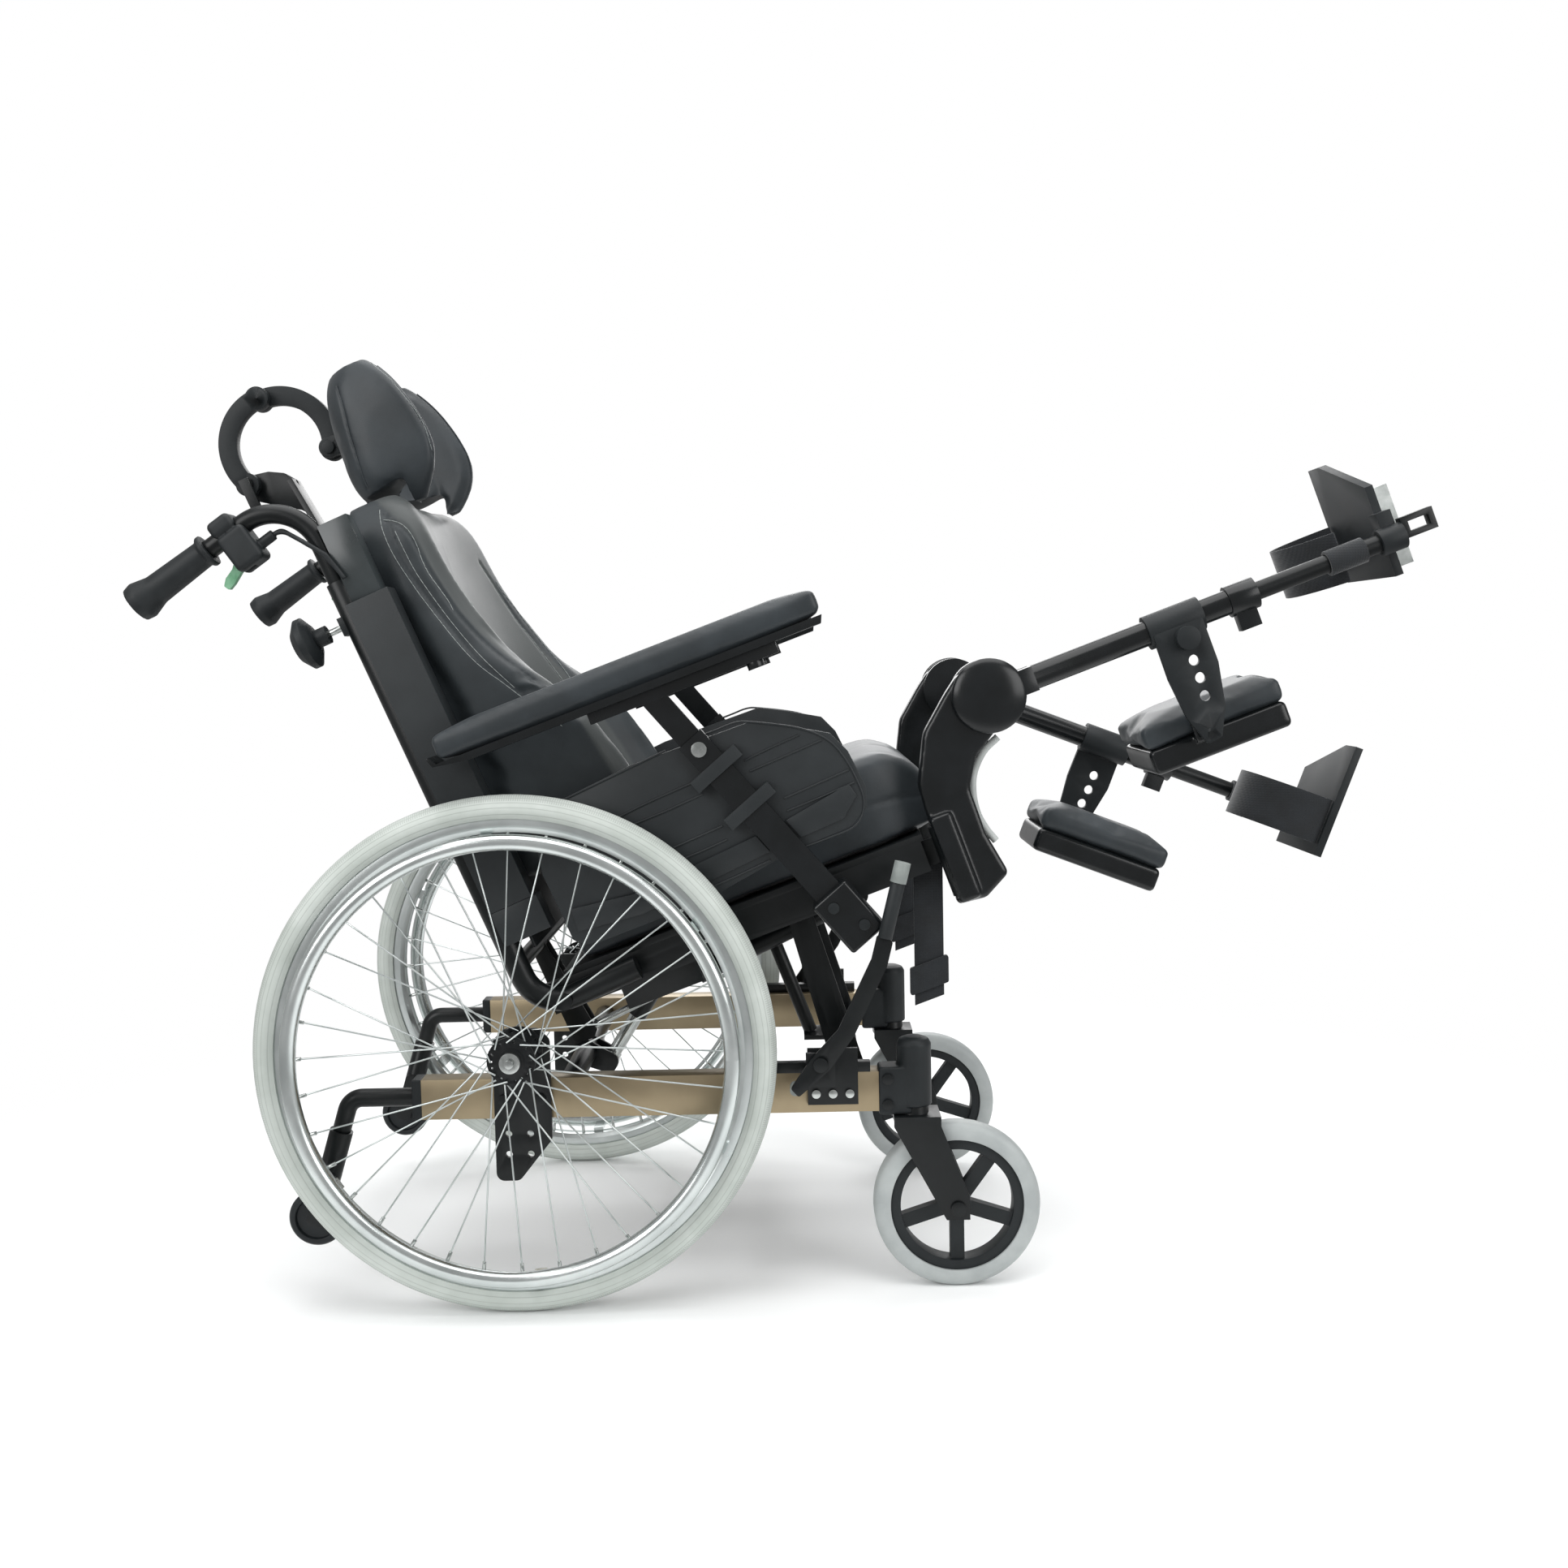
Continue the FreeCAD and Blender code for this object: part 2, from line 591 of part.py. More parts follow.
def make_spoked_wheel():
    wide, bed, shoulder = S.rim_half_width, S.rim_bed_half_width, S.rim_inner + S.rim_shoulder
    profile = [(S.rim_inner, -bed), (shoulder, -wide), (S.rim_outer, -wide), (S.rim_outer, wide),
               (shoulder, wide), (S.rim_inner, bed)]
    rim = lathe("rim", profile, (0, -S.wheel_half_track, 0))
    return [rim, make_hub()] + make_spokes()


def make_handrim():
    plane = -S.wheel_half_track - S.handrim_offset
    pieces = [ring("handrim", S.handrim_radius, S.handrim_section, (0, plane, 0), "Y")]
    out_end = plane + S.handrim_section + S.face_gap
    count = int(float(S.handrim_tabs))
    for number in range(count):
        tab = box("handrim_tab",
                  (S.rim_inner - S.tab_thickness - S.face_gap, S.rim_inner - S.face_gap),
                  (out_end, -S.wheel_half_track),
                  (-S.tab_width / 2, S.tab_width / 2))
        turned = group("handrim_tab_turned", [tab])
        turned.Placement = Placement(Vector(), Rotation(Vector(0, 1, 0), number * 360 / count - 35))
        pieces.append(turned)
    return pieces


pair("tyre", make_tyre(), WHEEL)
pair("spoked_wheel", make_spoked_wheel(), WHEEL)
pair("handrim", make_handrim(), WHEEL)


# Base frame

TUBE_OUT = S.tube_half_track + S.tube_width / 2
TUBE_IN = S.tube_half_track - S.tube_width / 2
TUBE_TOP = S.tube_low + S.tube_height


def tilt_pivot():
    """The tilt pivot's place above the rear axle's floor point, from its seat place."""
    turn = math.radians(float(S.seat_tilt))
    u, w = float(S.tilt_pivot_u), float(S.tilt_pivot_w)
    return (u * math.cos(turn) - w * math.sin(turn), u * math.sin(turn) + w * math.cos(turn))


def make_side_tube(side):
    low, high = (-TUBE_OUT, -TUBE_IN) if side < 0 else (TUBE_IN, TUBE_OUT)
    outside = box("side_tube_outside", (S.tube_rear, S.tube_front), (low, high), (S.tube_low, TUBE_TOP))
    inside = box("side_tube_inside", (S.tube_rear, S.tube_front),
                 (low + S.tube_wall, high - S.tube_wall),
                 (S.tube_low + S.tube_wall, TUBE_TOP - S.tube_wall))
    return cut("side_tube", outside, [inside])


def make_knuckle_ears():
    """Two ears on the rear cross tube that hold the pin of the tilt actuator."""
    ears = []
    outline = strip_between((S.rear_cross_x, S.cross_height), (S.knuckle_x, S.knuckle_z),
                            S.knuckle_ear_half_width, S.knuckle_ear_end, S.knuckle_ear_half_width,
                            S.knuckle_ear_end)
    for side in (-1, 1):
        middle = side * (S.knuckle_ear_in + S.knuckle_ear / 2)
        ears.append(plate("knuckle_ear", "XZ", outline, S.knuckle_ear, (0, middle, 0), corner=10,
                          holes=[(S.rear_cross_x, S.cross_height, S.cross_radius)]))
    half = S.knuckle_ear_in + S.knuckle_ear
    pin_hole = rod("knuckle_pin_hole", S.knuckle_pin, (S.knuckle_x, -half, S.knuckle_z), "Y", 2 * half)
    pin = rod("knuckle_pin", S.knuckle_pin, (S.knuckle_x, -half, S.knuckle_z), "Y", 2 * half)
    return [cut("knuckle_ears", group("knuckle_ear_pair", ears), [pin_hole]), pin]


def make_front_stand():
    """Two link bars that carry the tilt shaft, and the strut that stops the tilt."""
    pivot = tilt_pivot()
    foot = (S.front_cross_x, S.cross_height)
    outline = strip_between(foot, pivot, S.link_bottom_half, S.link_top_half,
                            S.link_foot_overhang, S.link_overhang)
    pieces = []
    for side in (-1, 1):
        pieces.append(plate("link_bar", "XZ", outline, S.link_thickness, (0, side * S.link_y, 0),
                            corner=13,
                            holes=[foot + (S.cross_radius,),
                                   pivot + (S.tilt_shaft + S.running_gap,)]))
    top = S.cross_height + S.cross_radius
    shelf = box("stop_plate", (S.stop_foot_x - S.stop_radius, S.front_cross_x),
                (-S.stop_plate_half_width, S.stop_plate_half_width), (top, top + S.stop_plate))
    foot_point = (S.stop_foot_x, 0, top + S.stop_plate)
    crown = (S.stop_top_x, 0, S.stop_top_z)
    strut = rod_between("stop_strut", S.stop_radius, foot_point, crown)
    return pieces + [fuse("tilt_stop", [shelf, strut])]


def make_base_frame():
    cross = []
    for x in (S.rear_cross_x, S.front_cross_x):
        cross.append(rod("cross_tube", S.cross_radius, (x, -TUBE_IN, S.cross_height), "Y", 2 * TUBE_IN))
    return [make_side_tube(-1), make_side_tube(1)] + cross + make_knuckle_ears() + make_front_stand()


node("base_frame", make_base_frame(), BASE)


def make_end_fittings():
    """A rear cap, and a front clamp with the caster's upright bearing housing."""
    middle = -S.tube_half_track
    cap = box("rear_cap", (S.tube_rear - S.rear_cap, S.tube_rear), (-TUBE_OUT, -TUBE_IN),
              (S.tube_low, TUBE_TOP))
    bore = rod("rear_cap_bore", S.tipper_radius + S.running_gap,
               (S.tube_rear - S.rear_cap, middle, S.tipper_z), "X", S.rear_cap)
    clamp = rounded_box("caster_clamp", (S.clamp_start, S.stem_x),
                        (middle - S.clamp_half_width, middle + S.clamp_half_width),
                        (S.clamp_low, S.clamp_top), 3)
    top, dome, radius = S.housing_top, S.dome_height, S.housing_radius
    profile = [(0, S.housing_low), (radius, S.housing_low), (radius, top),
               (radius * 0.85, top + dome * 0.6), (radius * 0.5, top + dome * 0.9), (0, top + dome)]
    barrel = lathe("caster_barrel", profile, (S.stem_x, -S.caster_half_track, 0), "Z")
    stem_bore = rod("stem_bore", S.stem_radius + S.running_gap,
                    (S.stem_x, -S.caster_half_track, S.clamp_low), "Z",
                    S.stem_bore_top - S.clamp_low)
    below = rod("stem_flange_room", S.stem_flange + S.face_gap,
                (S.stem_x, -S.caster_half_track, S.clamp_low), "Z", S.housing_low - S.clamp_low)
    housing = cut("caster_housing", fuse("caster_housing_block", [clamp, barrel]), [stem_bore, below])
    bolts = []
    for z in (S.clamp_low + S.bolt_head * 2, S.clamp_top - S.bolt_head * 2):
        bolts.append(rod("clamp_bolt", S.bolt_head,
                         (S.clamp_start + S.bolt_head * 1.6,
                          middle - S.clamp_half_width - S.bolt_head_height, z),
                         "Y", S.bolt_head_height))
    return [cut("rear_tube_cap", cap, [bore]), housing] + bolts


node("frame_end_fittings", both_sides(make_end_fittings()), BASE)


def make_axle_plate():
    low, top, rear, front = S.axle_plate_low, S.axle_plate_top, S.axle_plate_rear, S.axle_plate_front
    waist = S.tube_low - S.plate_hole_pitch_z
    outline = [(rear, low), (rear + 28, low), (front, waist), (front, top - 14),
               (front - 14, top), (rear + 14, top), (rear, top - 14)]
    holes = []
    for column in range(2):
        for row in range(2):
            holes.append((S.plate_hole_rear + column * S.plate_hole_pitch_x,
                          S.plate_hole_low + row * S.plate_hole_pitch_z, S.plate_hole))
    middle = -TUBE_OUT - S.axle_plate / 2
    pieces = [plate("axle_plate", "XZ", outline, S.axle_plate, (0, middle, 0),
                    corner=S.axle_plate_corner, holes=holes)]
    outer = TUBE_OUT + S.axle_plate
    hub_in = S.wheel_half_track - S.hub_half_width
    hub_out = S.wheel_half_track + S.hub_half_width
    height = S.tyre_radius
    pieces.append(tube("axle_collar", S.axle_collar, S.axle_radius,
                       (0, -hub_in + S.face_gap, height), "Y", hub_in - S.face_gap - outer))
    nut_out = hub_out + S.face_gap + S.axle_nut_length
    pieces.append(rod("axle", S.axle_radius, (0, -nut_out, height), "Y", nut_out - outer))
    pieces.append(tube("axle_nut", S.axle_nut, S.axle_radius, (0, -nut_out, height), "Y",
                       S.axle_nut_length))
    pieces.append(rod("axle_tip", S.axle_tip_radius, (0, -nut_out - S.axle_tip, height), "Y",
                      S.axle_tip))
    for x in (S.axle_plate_rear + 12, S.axle_plate_front - 12):
        pieces.append(rod("axle_plate_bolt", S.bolt_head,
                          (x, -outer - S.bolt_head_height, S.tube_low + S.tube_height / 2), "Y",
                          S.bolt_head_height))
    return pieces


node("axle_plates", both_sides(make_axle_plate()), BASE)


# Casters

def make_caster_fork():
    middle = -S.caster_half_track
    flange_top = S.housing_low - S.face_gap
    crown_top = S.crown_low + S.crown_thickness
    stem = rod("caster_stem", S.stem_radius, (0, middle, crown_top), "Z", S.stem_top - crown_top)
    flange = rod("caster_stem_flange", S.stem_flange, (0, middle, crown_top), "Z",
                 flange_top - crown_top)
    out = S.cheek_in + S.cheek_thickness
    crown = box("caster_crown", (-S.crown_rear, S.crown_front), (middle - out, middle + out),
                (S.crown_low, crown_top))
    axle_x, axle_z, foot = S.caster_trail, S.caster_radius, S.cheek_foot
    outline = [(-S.crown_rear, crown_top), (-S.crown_rear, S.crown_low - 6),
               (axle_x - foot, axle_z - foot), (axle_x + foot, axle_z - foot),
               (axle_x + foot, axle_z + foot), (S.crown_front, S.crown_low - 6),
               (S.crown_front, crown_top)]
    cheeks = []
    for side in (-1, 1):
        place = middle + side * (S.cheek_in + S.cheek_thickness / 2)
        cheeks.append(plate("caster_cheek", "XZ", outline, S.cheek_thickness, (0, place, 0)))
    fork = fuse("caster_fork_frame", [stem, flange, crown] + cheeks)
    pin_hole = rod("caster_axle_hole", S.caster_axle, (axle_x, middle - out, axle_z), "Y", 2 * out)
    pin = rod("caster_axle_shank", S.caster_axle, (axle_x, middle - out, axle_z), "Y", 2 * out)
    heads = []
    for start in (middle - out - S.caster_axle_head_height, middle + out):
        heads.append(rod("caster_axle_head", S.caster_axle_head, (axle_x, start, axle_z), "Y",
                         S.caster_axle_head_height))
    return [cut("caster_fork", fork, [pin_hole]), fuse("caster_axle", [pin] + heads)]


def make_caster_wheel():
    centre = (S.caster_trail, -S.caster_half_track, S.caster_radius)
    wide, tread, shoulder = S.caster_half_width, S.caster_tread_half_width, S.caster_shoulder
    outer, bed = S.caster_radius, S.caster_rim_outer
    profile = [(bed, -wide), (outer - shoulder, -wide), (outer - shoulder * 0.3, -wide * 0.8),
               (outer, -tread), (outer, tread), (outer - shoulder * 0.3, wide * 0.8),
               (outer - shoulder, wide), (bed, wide)]
    tyre = lathe("caster_tyre", profile, centre)
    rim_wide, bore = S.caster_rim_half_width, S.caster_axle + S.running_gap
    rim = lathe("caster_rim", [(S.caster_rim_inner, -rim_wide), (bed, -rim_wide), (bed, rim_wide),
                               (S.caster_rim_inner, rim_wide)], centre)
    hub = rod("caster_hub", S.caster_hub,
              (centre[0], centre[1] - S.caster_hub_half_width, centre[2]), "Y",
              2 * S.caster_hub_half_width)
    spokes = []
    count = int(float(S.caster_spokes))
    for number in range(count):
        arm = box("caster_arm", (0, (S.caster_rim_inner + bed) / 2),
                  (-S.caster_spoke_half_thickness, S.caster_spoke_half_thickness),
                  (-S.caster_spoke_width / 2, S.caster_spoke_width / 2))
        turned = group("caster_arm_turned", [arm])
        put(turned, centre, Rotation(Vector(0, 1, 0), number * 360 / count + 90))
        spokes.append(turned)
    hole = rod("caster_bore", bore, (centre[0], centre[1] - S.caster_hub_half_width, centre[2]),
               "Y", 2 * S.caster_hub_half_width)
    wheel = cut("caster_wheel_hub", fuse("caster_wheel_block", [rim, hub] + spokes), [hole])
    return [tyre, wheel]


pair("caster_fork", make_caster_fork(), CASTER)
pair("caster_wheel", make_caster_wheel(), CASTER)


# Anti tippers, in a frame at the bend corner

TIPPER = BASE * frame(S.tipper_corner_x, S.tipper_z, 0)


def down_leg(distance):
    """A point so far down the leaning lower leg of the anti tipper."""
    lean = math.radians(float(S.tipper_lean))
    return (-float(distance) * math.sin(lean), -float(distance) * math.cos(lean))


def make_tipper_arm():
    middle = -S.tube_half_track
    joint = down_leg(S.tipper_upper)
    upper = bent_rod("tipper_tube", S.tipper_radius,
                     [(S.tipper_start - S.tipper_corner_x, middle, 0), (0, middle, 0),
                      (joint[0], middle, joint[1])], S.tipper_bend * 0.5)
    sleeve_end = down_leg(S.tipper_upper + S.tipper_sleeve_length)
    sleeve = rod_between("tipper_sleeve", S.tipper_sleeve, (joint[0], middle, joint[1]),
                         (sleeve_end[0], middle, sleeve_end[1]))
    axle = down_leg(S.tipper_drop)
    outline = strip_between(down_leg(S.tipper_upper + S.tipper_sleeve_length * 0.75), axle,
                            S.tipper_fork_half, S.tipper_fork_half, S.tipper_fork_half * 0.7)
    cheeks = []
    for side in (-1, 1):
        place = middle + side * (S.tipper_hub_half + S.face_gap + S.tipper_fork / 2)
        cheeks.append(plate("tipper_cheek", "XZ", outline, S.tipper_fork, (0, place, 0), corner=7))
    half = S.tipper_hub_half + S.face_gap + S.tipper_fork
    hole = rod("tipper_pin_hole", S.tipper_pin, (axle[0], middle - half, axle[1]), "Y", 2 * half)
    pin = rod("tipper_pin", S.tipper_pin, (axle[0], middle - half, axle[1]), "Y", 2 * half)
    leg = cut("tipper_leg", fuse("tipper_leg_block", [sleeve] + cheeks), [hole])
    return [upper, leg, pin]


def make_tipper_wheel():
    axle = down_leg(S.tipper_drop)
    wide, radius, bore = S.tipper_wheel_half, S.tipper_wheel, S.tipper_pin + S.running_gap
    hub = S.tipper_hub_half
    profile = [(bore, -hub), (9, -hub), (11, -wide * 0.6), (radius * 0.72, -wide * 0.6),
               (radius * 0.76, -wide), (radius - 3, -wide), (radius, -wide + 4),
               (radius, wide - 4), (radius - 3, wide), (radius * 0.76, wide),
               (radius * 0.72, wide * 0.6), (11, wide * 0.6), (9, hub), (bore, hub)]
    return [lathe("tipper_wheel", profile, (axle[0], -S.tube_half_track, axle[1]))]


pair("tipper_arm", make_tipper_arm(), TIPPER)
pair("tipper_wheel", make_tipper_wheel(), TIPPER)


# Brakes, in a frame at the lever's pivot

BRAKE = BASE * frame(S.brake_x, S.brake_z, 0)
BRAKE_MID = S.brake_plane
BRAKE_IN = S.brake_plane - S.brake_lever_thickness / 2


def make_brake_bracket():
    rail = box("brake_rail", (S.brake_rail_rear, S.brake_rail_front),
               (-TUBE_OUT, -TUBE_OUT + S.brake_rail_width), (TUBE_TOP, TUBE_TOP + S.brake_rail_height))
    foot = box("brake_foot", (S.brake_foot_rear, S.brake_foot_front),
               (-TUBE_OUT - S.brake_plate, -TUBE_OUT), (S.brake_foot_low, S.brake_foot_top))
    ear_out = -BRAKE_IN + S.face_gap
    shelf = box("brake_shelf", (S.brake_x - S.brake_ear_half_width, S.brake_x + S.brake_ear_half_width),
                (ear_out, -TUBE_OUT), (S.brake_shelf_z, S.brake_shelf_z + S.brake_plate))
    ear = box("brake_ear", (S.brake_x - S.brake_ear_half_width, S.brake_x + S.brake_ear_half_width),
              (ear_out, ear_out + S.brake_plate),
              (S.brake_shelf_z, S.brake_z + S.brake_ear_half_width * 0.7))
    bracket = fuse("brake_bracket_block", [foot, shelf, ear])
    outer = BRAKE_MID + S.brake_lever_thickness / 2 + S.face_gap
    hole = rod("brake_pin_hole", S.brake_pin, (S.brake_x, ear_out, S.brake_z), "Y", S.brake_plate)
    shank = rod("brake_pin_shank", S.brake_pin, (S.brake_x, -outer, S.brake_z), "Y",
                outer + ear_out + S.brake_plate)
    head = rod("brake_pin_head", S.brake_pin * 1.7, (S.brake_x, -outer - S.bolt_head_height, S.brake_z),
               "Y", S.bolt_head_height)
    screws = []
    for x in (S.brake_foot_rear + 10, (S.brake_foot_rear + S.brake_foot_front) / 2,
              S.brake_foot_front - 10):
        screws.append(rod("brake_screw", S.bolt_head * 0.8,
                          (x, -TUBE_OUT - S.brake_plate - S.bolt_head_height * 0.7,
                           S.tube_low + S.tube_height / 2), "Y", S.bolt_head_height * 0.7))
    return [rail, cut("brake_bracket", bracket, [hole]), fuse("brake_pin", [shank, head])] + screws


# The lever's middle line, from its pivot to the start of its grip.
BRAKE_LEVER_LINE = [(0, 0), (30, 36), (70, 118), (77, 146)]


def make_brake_lever():
    half = S.brake_lever_half_width
    line_points = BRAKE_LEVER_LINE
    shoe = (-S.brake_shoe_back, -S.brake_shoe_down)
    outline = [(shoe[0] - 5, shoe[1] + 4), (shoe[0] + 4, shoe[1] - 6), (half * 1.2, -half * 0.7)]
    outline += [(x + float(half), z - 4) for x, z in line_points[1:]]
    outline += [(x - float(half), z + 4) for x, z in reversed(line_points[1:])]
    outline.append((-half * 1.2, half * 0.7))
    blade = plate("brake_blade", "XZ", outline, S.brake_lever_thickness, (0, -BRAKE_MID, 0), corner=3,
                  holes=[(0, 0, S.brake_pin + S.running_gap)])
    peg_in = S.wheel_half_track - S.tyre_section + S.brake_shoe_length * 0.1
    peg = rod("brake_shoe", S.brake_shoe, (shoe[0], -BRAKE_IN, shoe[1]), "Y", BRAKE_IN - peg_in)
    start = Vector(line_points[-1][0], -float(BRAKE_MID), line_points[-1][1])
    before = Vector(line_points[-2][0], -float(BRAKE_MID), line_points[-2][1])
    along = (start - before).normalize()
    grip_end = start + along * float(S.brake_grip_length)
    tip_end = grip_end + along * float(S.brake_tip_length)
    grip = rod_between("brake_grip", S.brake_grip_radius, tuple(start), tuple(grip_end))
    tip = rod_between("brake_tip", S.brake_tip_radius, tuple(grip_end), tuple(tip_end))
    trimmed = cut("brake_blade_trimmed", blade, [rod_between(
        "brake_grip_room", S.brake_grip_radius, tuple(start), tuple(grip_end))])
    return [trimmed, peg, grip, tip]


node("brake_brackets", both_sides(make_brake_bracket()), BASE)
pair("brake_lever", make_brake_lever(), BRAKE)


# Seat, in the tilted seat frame

RAIL_IN = S.rail_out - S.rail_width
PAN_TOP = S.rail_top + S.pan_thickness


def seat_rail():
    y = (-S.rail_out, -RAIL_IN)
    outside = box("rail_outside", (S.rail_rear, S.rail_front), y, (S.rail_low, S.rail_top))
    inside = box("rail_inside", (S.rail_rear + S.rail_wall, S.rail_front - S.rail_wall),
                 (y[0] + S.rail_wall, y[1] - S.rail_wall),
                 (S.rail_low + S.rail_wall, S.rail_top - S.rail_wall))
    at = (S.recline_pivot_u, y[0], S.recline_pivot_w)
    return cut("seat_rail", outside, [inside, rod("rail_pin_hole", S.pivot_pin, at, "Y", S.rail_width)])


def seat_box(name):
    """The open-bottomed black box that hangs beside a rail under the seat."""
    y = (-RAIL_IN, -S.carrier_inner)
    outside = box(name + "_outside", (S.carrier_rear, S.carrier_front), y,
                  (S.carrier_low, S.rail_top - S.carrier_bridge))
    inside = box(name + "_inside",
                 (S.carrier_rear + S.carrier_wall, S.carrier_front - S.carrier_wall),
                 (y[0] + S.carrier_wall, y[1] - S.carrier_wall),
                 (S.carrier_low, S.rail_top - S.carrier_bridge - S.carrier_wall))
    return cut(name, outside, [inside])


def hanging_ears(name, u, w, top, y_middle, inside, thickness, half, pin):
    """Two ears under the seat that hold a cross pin between them."""
    pieces = []
    for side in (-1, 1):
        middle = y_middle + side * (inside + thickness / 2)
        outline = [(u - half, top), (u - half, w), (u - half * 0.5, w - half * 0.8),
                   (u + half * 0.5, w - half * 0.8), (u + half, w), (u + half, top)]
        pieces.append(plate(name, "XZ", outline, thickness, (0, middle, 0), holes=[(u, w, pin)]))
    reach = inside + thickness
    pieces.append(rod(name + "_pin", pin, (u, y_middle - reach, w), "Y", 2 * reach))
    return pieces


def receiver():
    """The upright tube at the front of a rail that takes the legrest's pin."""
    low, height = S.receiver_low, S.receiver_top - S.receiver_low
    wall = rod("receiver_wall", S.receiver_radius, (S.receiver_u, -S.receiver_y, low), "Z", height)
    strap = box("receiver_strap", (S.rail_front - 60, S.receiver_u), (-RAIL_IN, -RAIL_IN + 5),
                (S.rail_low + 3, S.rail_top - 3))
    bore = rod("receiver_bore", S.hanger_pin + S.running_gap,
               (S.receiver_u, -S.receiver_y, low), "Z", height)
    return cut("receiver", fuse("receiver_block", [wall, strap]), [bore])


def arm_bracket():
    """The block that joins the armrest's socket to the rail."""
    block = box("arm_bracket_block", (-S.socket_half + 3, S.socket_half - 3),
                (-S.socket_in, -S.rail_out), (-40, -6))
    item = group("arm_bracket", [block])
    item.Placement = SEAT.inverse() * ARM
    return item


def make_seat_frame():
    right = [seat_rail(), seat_box("seat_box"), receiver(), arm_bracket()]
    right.append(rod("back_pivot_pin", S.pivot_pin,
                     (S.recline_pivot_u, -S.upright_y - S.upright_radius - 2, S.recline_pivot_w),
                     "Y", S.upright_y + S.upright_radius + 2 - RAIL_IN))
    right.append(rod("back_pivot_head", S.pivot_pin * 1.7,
                     (S.recline_pivot_u, -S.upright_y - S.upright_radius - 5, S.recline_pivot_w),
                     "Y", 3))
    middle = [box("seat_pan", (S.pan_rear, S.pan_front), (-S.rail_out, S.rail_out),
                  (S.rail_top, PAN_TOP)),
              box("front_bar", (S.front_bar_u, S.front_bar_u + S.front_bar_length),
                  (-RAIL_IN + 5, RAIL_IN - 5), (S.rail_low + 8, S.rail_top)),
              box("box_bridge", (S.carrier_rear, S.carrier_front), (-RAIL_IN, RAIL_IN),
                  (S.rail_top - S.carrier_bridge, S.rail_top)),
              rod("tilt_shaft", S.tilt_shaft, (S.tilt_pivot_u, -RAIL_IN, S.tilt_pivot_w), "Y",
                  2 * RAIL_IN)]
    middle += hanging_ears("tilt_ear", S.tilt_seat_u, S.tilt_seat_w, S.rail_top - S.carrier_bridge,
                           0, S.tilt_ear_in, S.tilt_ear, S.tilt_ear_half, S.tilt_seat_pin)
    middle += hanging_ears("recline_ear", S.recline_u, S.recline_w, S.rail_top,
                           -S.recline_y, S.recline_ear_in, S.recline_ear, S.recline_ear_half,
                           S.recline_pin)
    return both_sides(right) + middle


node("seat_frame", make_seat_frame(), SEAT)


def cushion_section(u, half, low, high, corner):
    """A cushion's cross-section at one distance forward, crowned and with soft corners."""
    crown = high + 3
    slope = corner * 0.29
    return Part.Wire([
        line((u, -half + 6, low), (u, half - 6, low)),
        arc((u, half - 6, low), (u, half - 1.8, low + 1.8), (u, half, low + 6)),
        line((u, half, low + 6), (u, half, high - corner)),
        arc((u, half, high - corner), (u, half - slope, high - slope), (u, half - corner, high)),
        arc((u, half - corner, high), (u, 0, crown), (u, -half + corner, high)),
        arc((u, -half + corner, high), (u, -half + slope, high - slope), (u, -half, high - corner)),
        line((u, -half, high - corner), (u, -half, low + 6)),
        arc((u, -half, low + 6), (u, -half + 1.8, low + 1.8), (u, -half + 6, low))])


def make_seat_cushion():
    """A foam cushion that drops over the front edge like a waterfall."""
    rear, front = float(S.cushion_rear), float(S.cushion_front)
    half, low, top = float(S.cushion_half_width), float(PAN_TOP), float(S.cushion_top)
    stations = [(rear, half - 8, top - 16), (rear + 14, half, top - 6), (300, half, top - 3),
                (450, half, top - 3), (560, half, top), (605, half - 3, top + 1),
                (634, half - 12, top - 2), (654, half - 19, top - 12), (670, half - 26, top - 30),
                (front, half - 34, top - 52)]
    sections = [cushion_section(u, wide, low, high, 20) for u, wide, high in stations]
    return [solid_through("seat_foam", sections)]


node("seat_cushion", make_seat_cushion(), SEAT)


def make_lap_belt():
    """A webbing strap that hangs straight down from the seat's front bar, with its buckle."""
    tilt = math.radians(float(S.seat_tilt))
    down = (-math.sin(tilt), -math.cos(tilt))
    top = float(S.rail_low + 8)
    half, length = float(S.strap_width) / 2, float(S.strap_length)
    start = (float(S.strap_u), top)
    end = (start[0] + down[0] * length, start[1] + down[1] * length)
    pieces = []
    outline = [(start[0] - half, top), (end[0] - half, end[1]), (end[0] + half, end[1]),
               (start[0] + half, top)]
    pieces.append(plate("belt_strap", "XZ", outline, S.strap_thickness, (0, -S.strap_y, 0)))
    far = (end[0] + down[0] * 34, end[1] + down[1] * 34)
    wide = half + 6
    frame_line = [(end[0] - wide, end[1]), (far[0] - wide, far[1]), (far[0] + wide, far[1]),
                  (end[0] + wide, end[1])]
    pieces.append(plate("belt_buckle", "XZ", frame_line, S.buckle_thickness, (0, -S.strap_y, 0),
                        corner=3))
    tail = (far[0] + down[0] * 14, far[1] + down[1] * 14)
    tail_line = [(far[0] - half, far[1]), (tail[0] - half, tail[1]), (tail[0] + half, tail[1]),
                 (far[0] + half, far[1])]
    pieces.append(plate("belt_tail", "XZ", tail_line, S.strap_thickness, (0, -S.strap_y, 0)))
    return both_sides(pieces)


node("lap_belt", make_lap_belt(), SEAT)


# Actuators, each in a frame at its own pin with +Z along its line

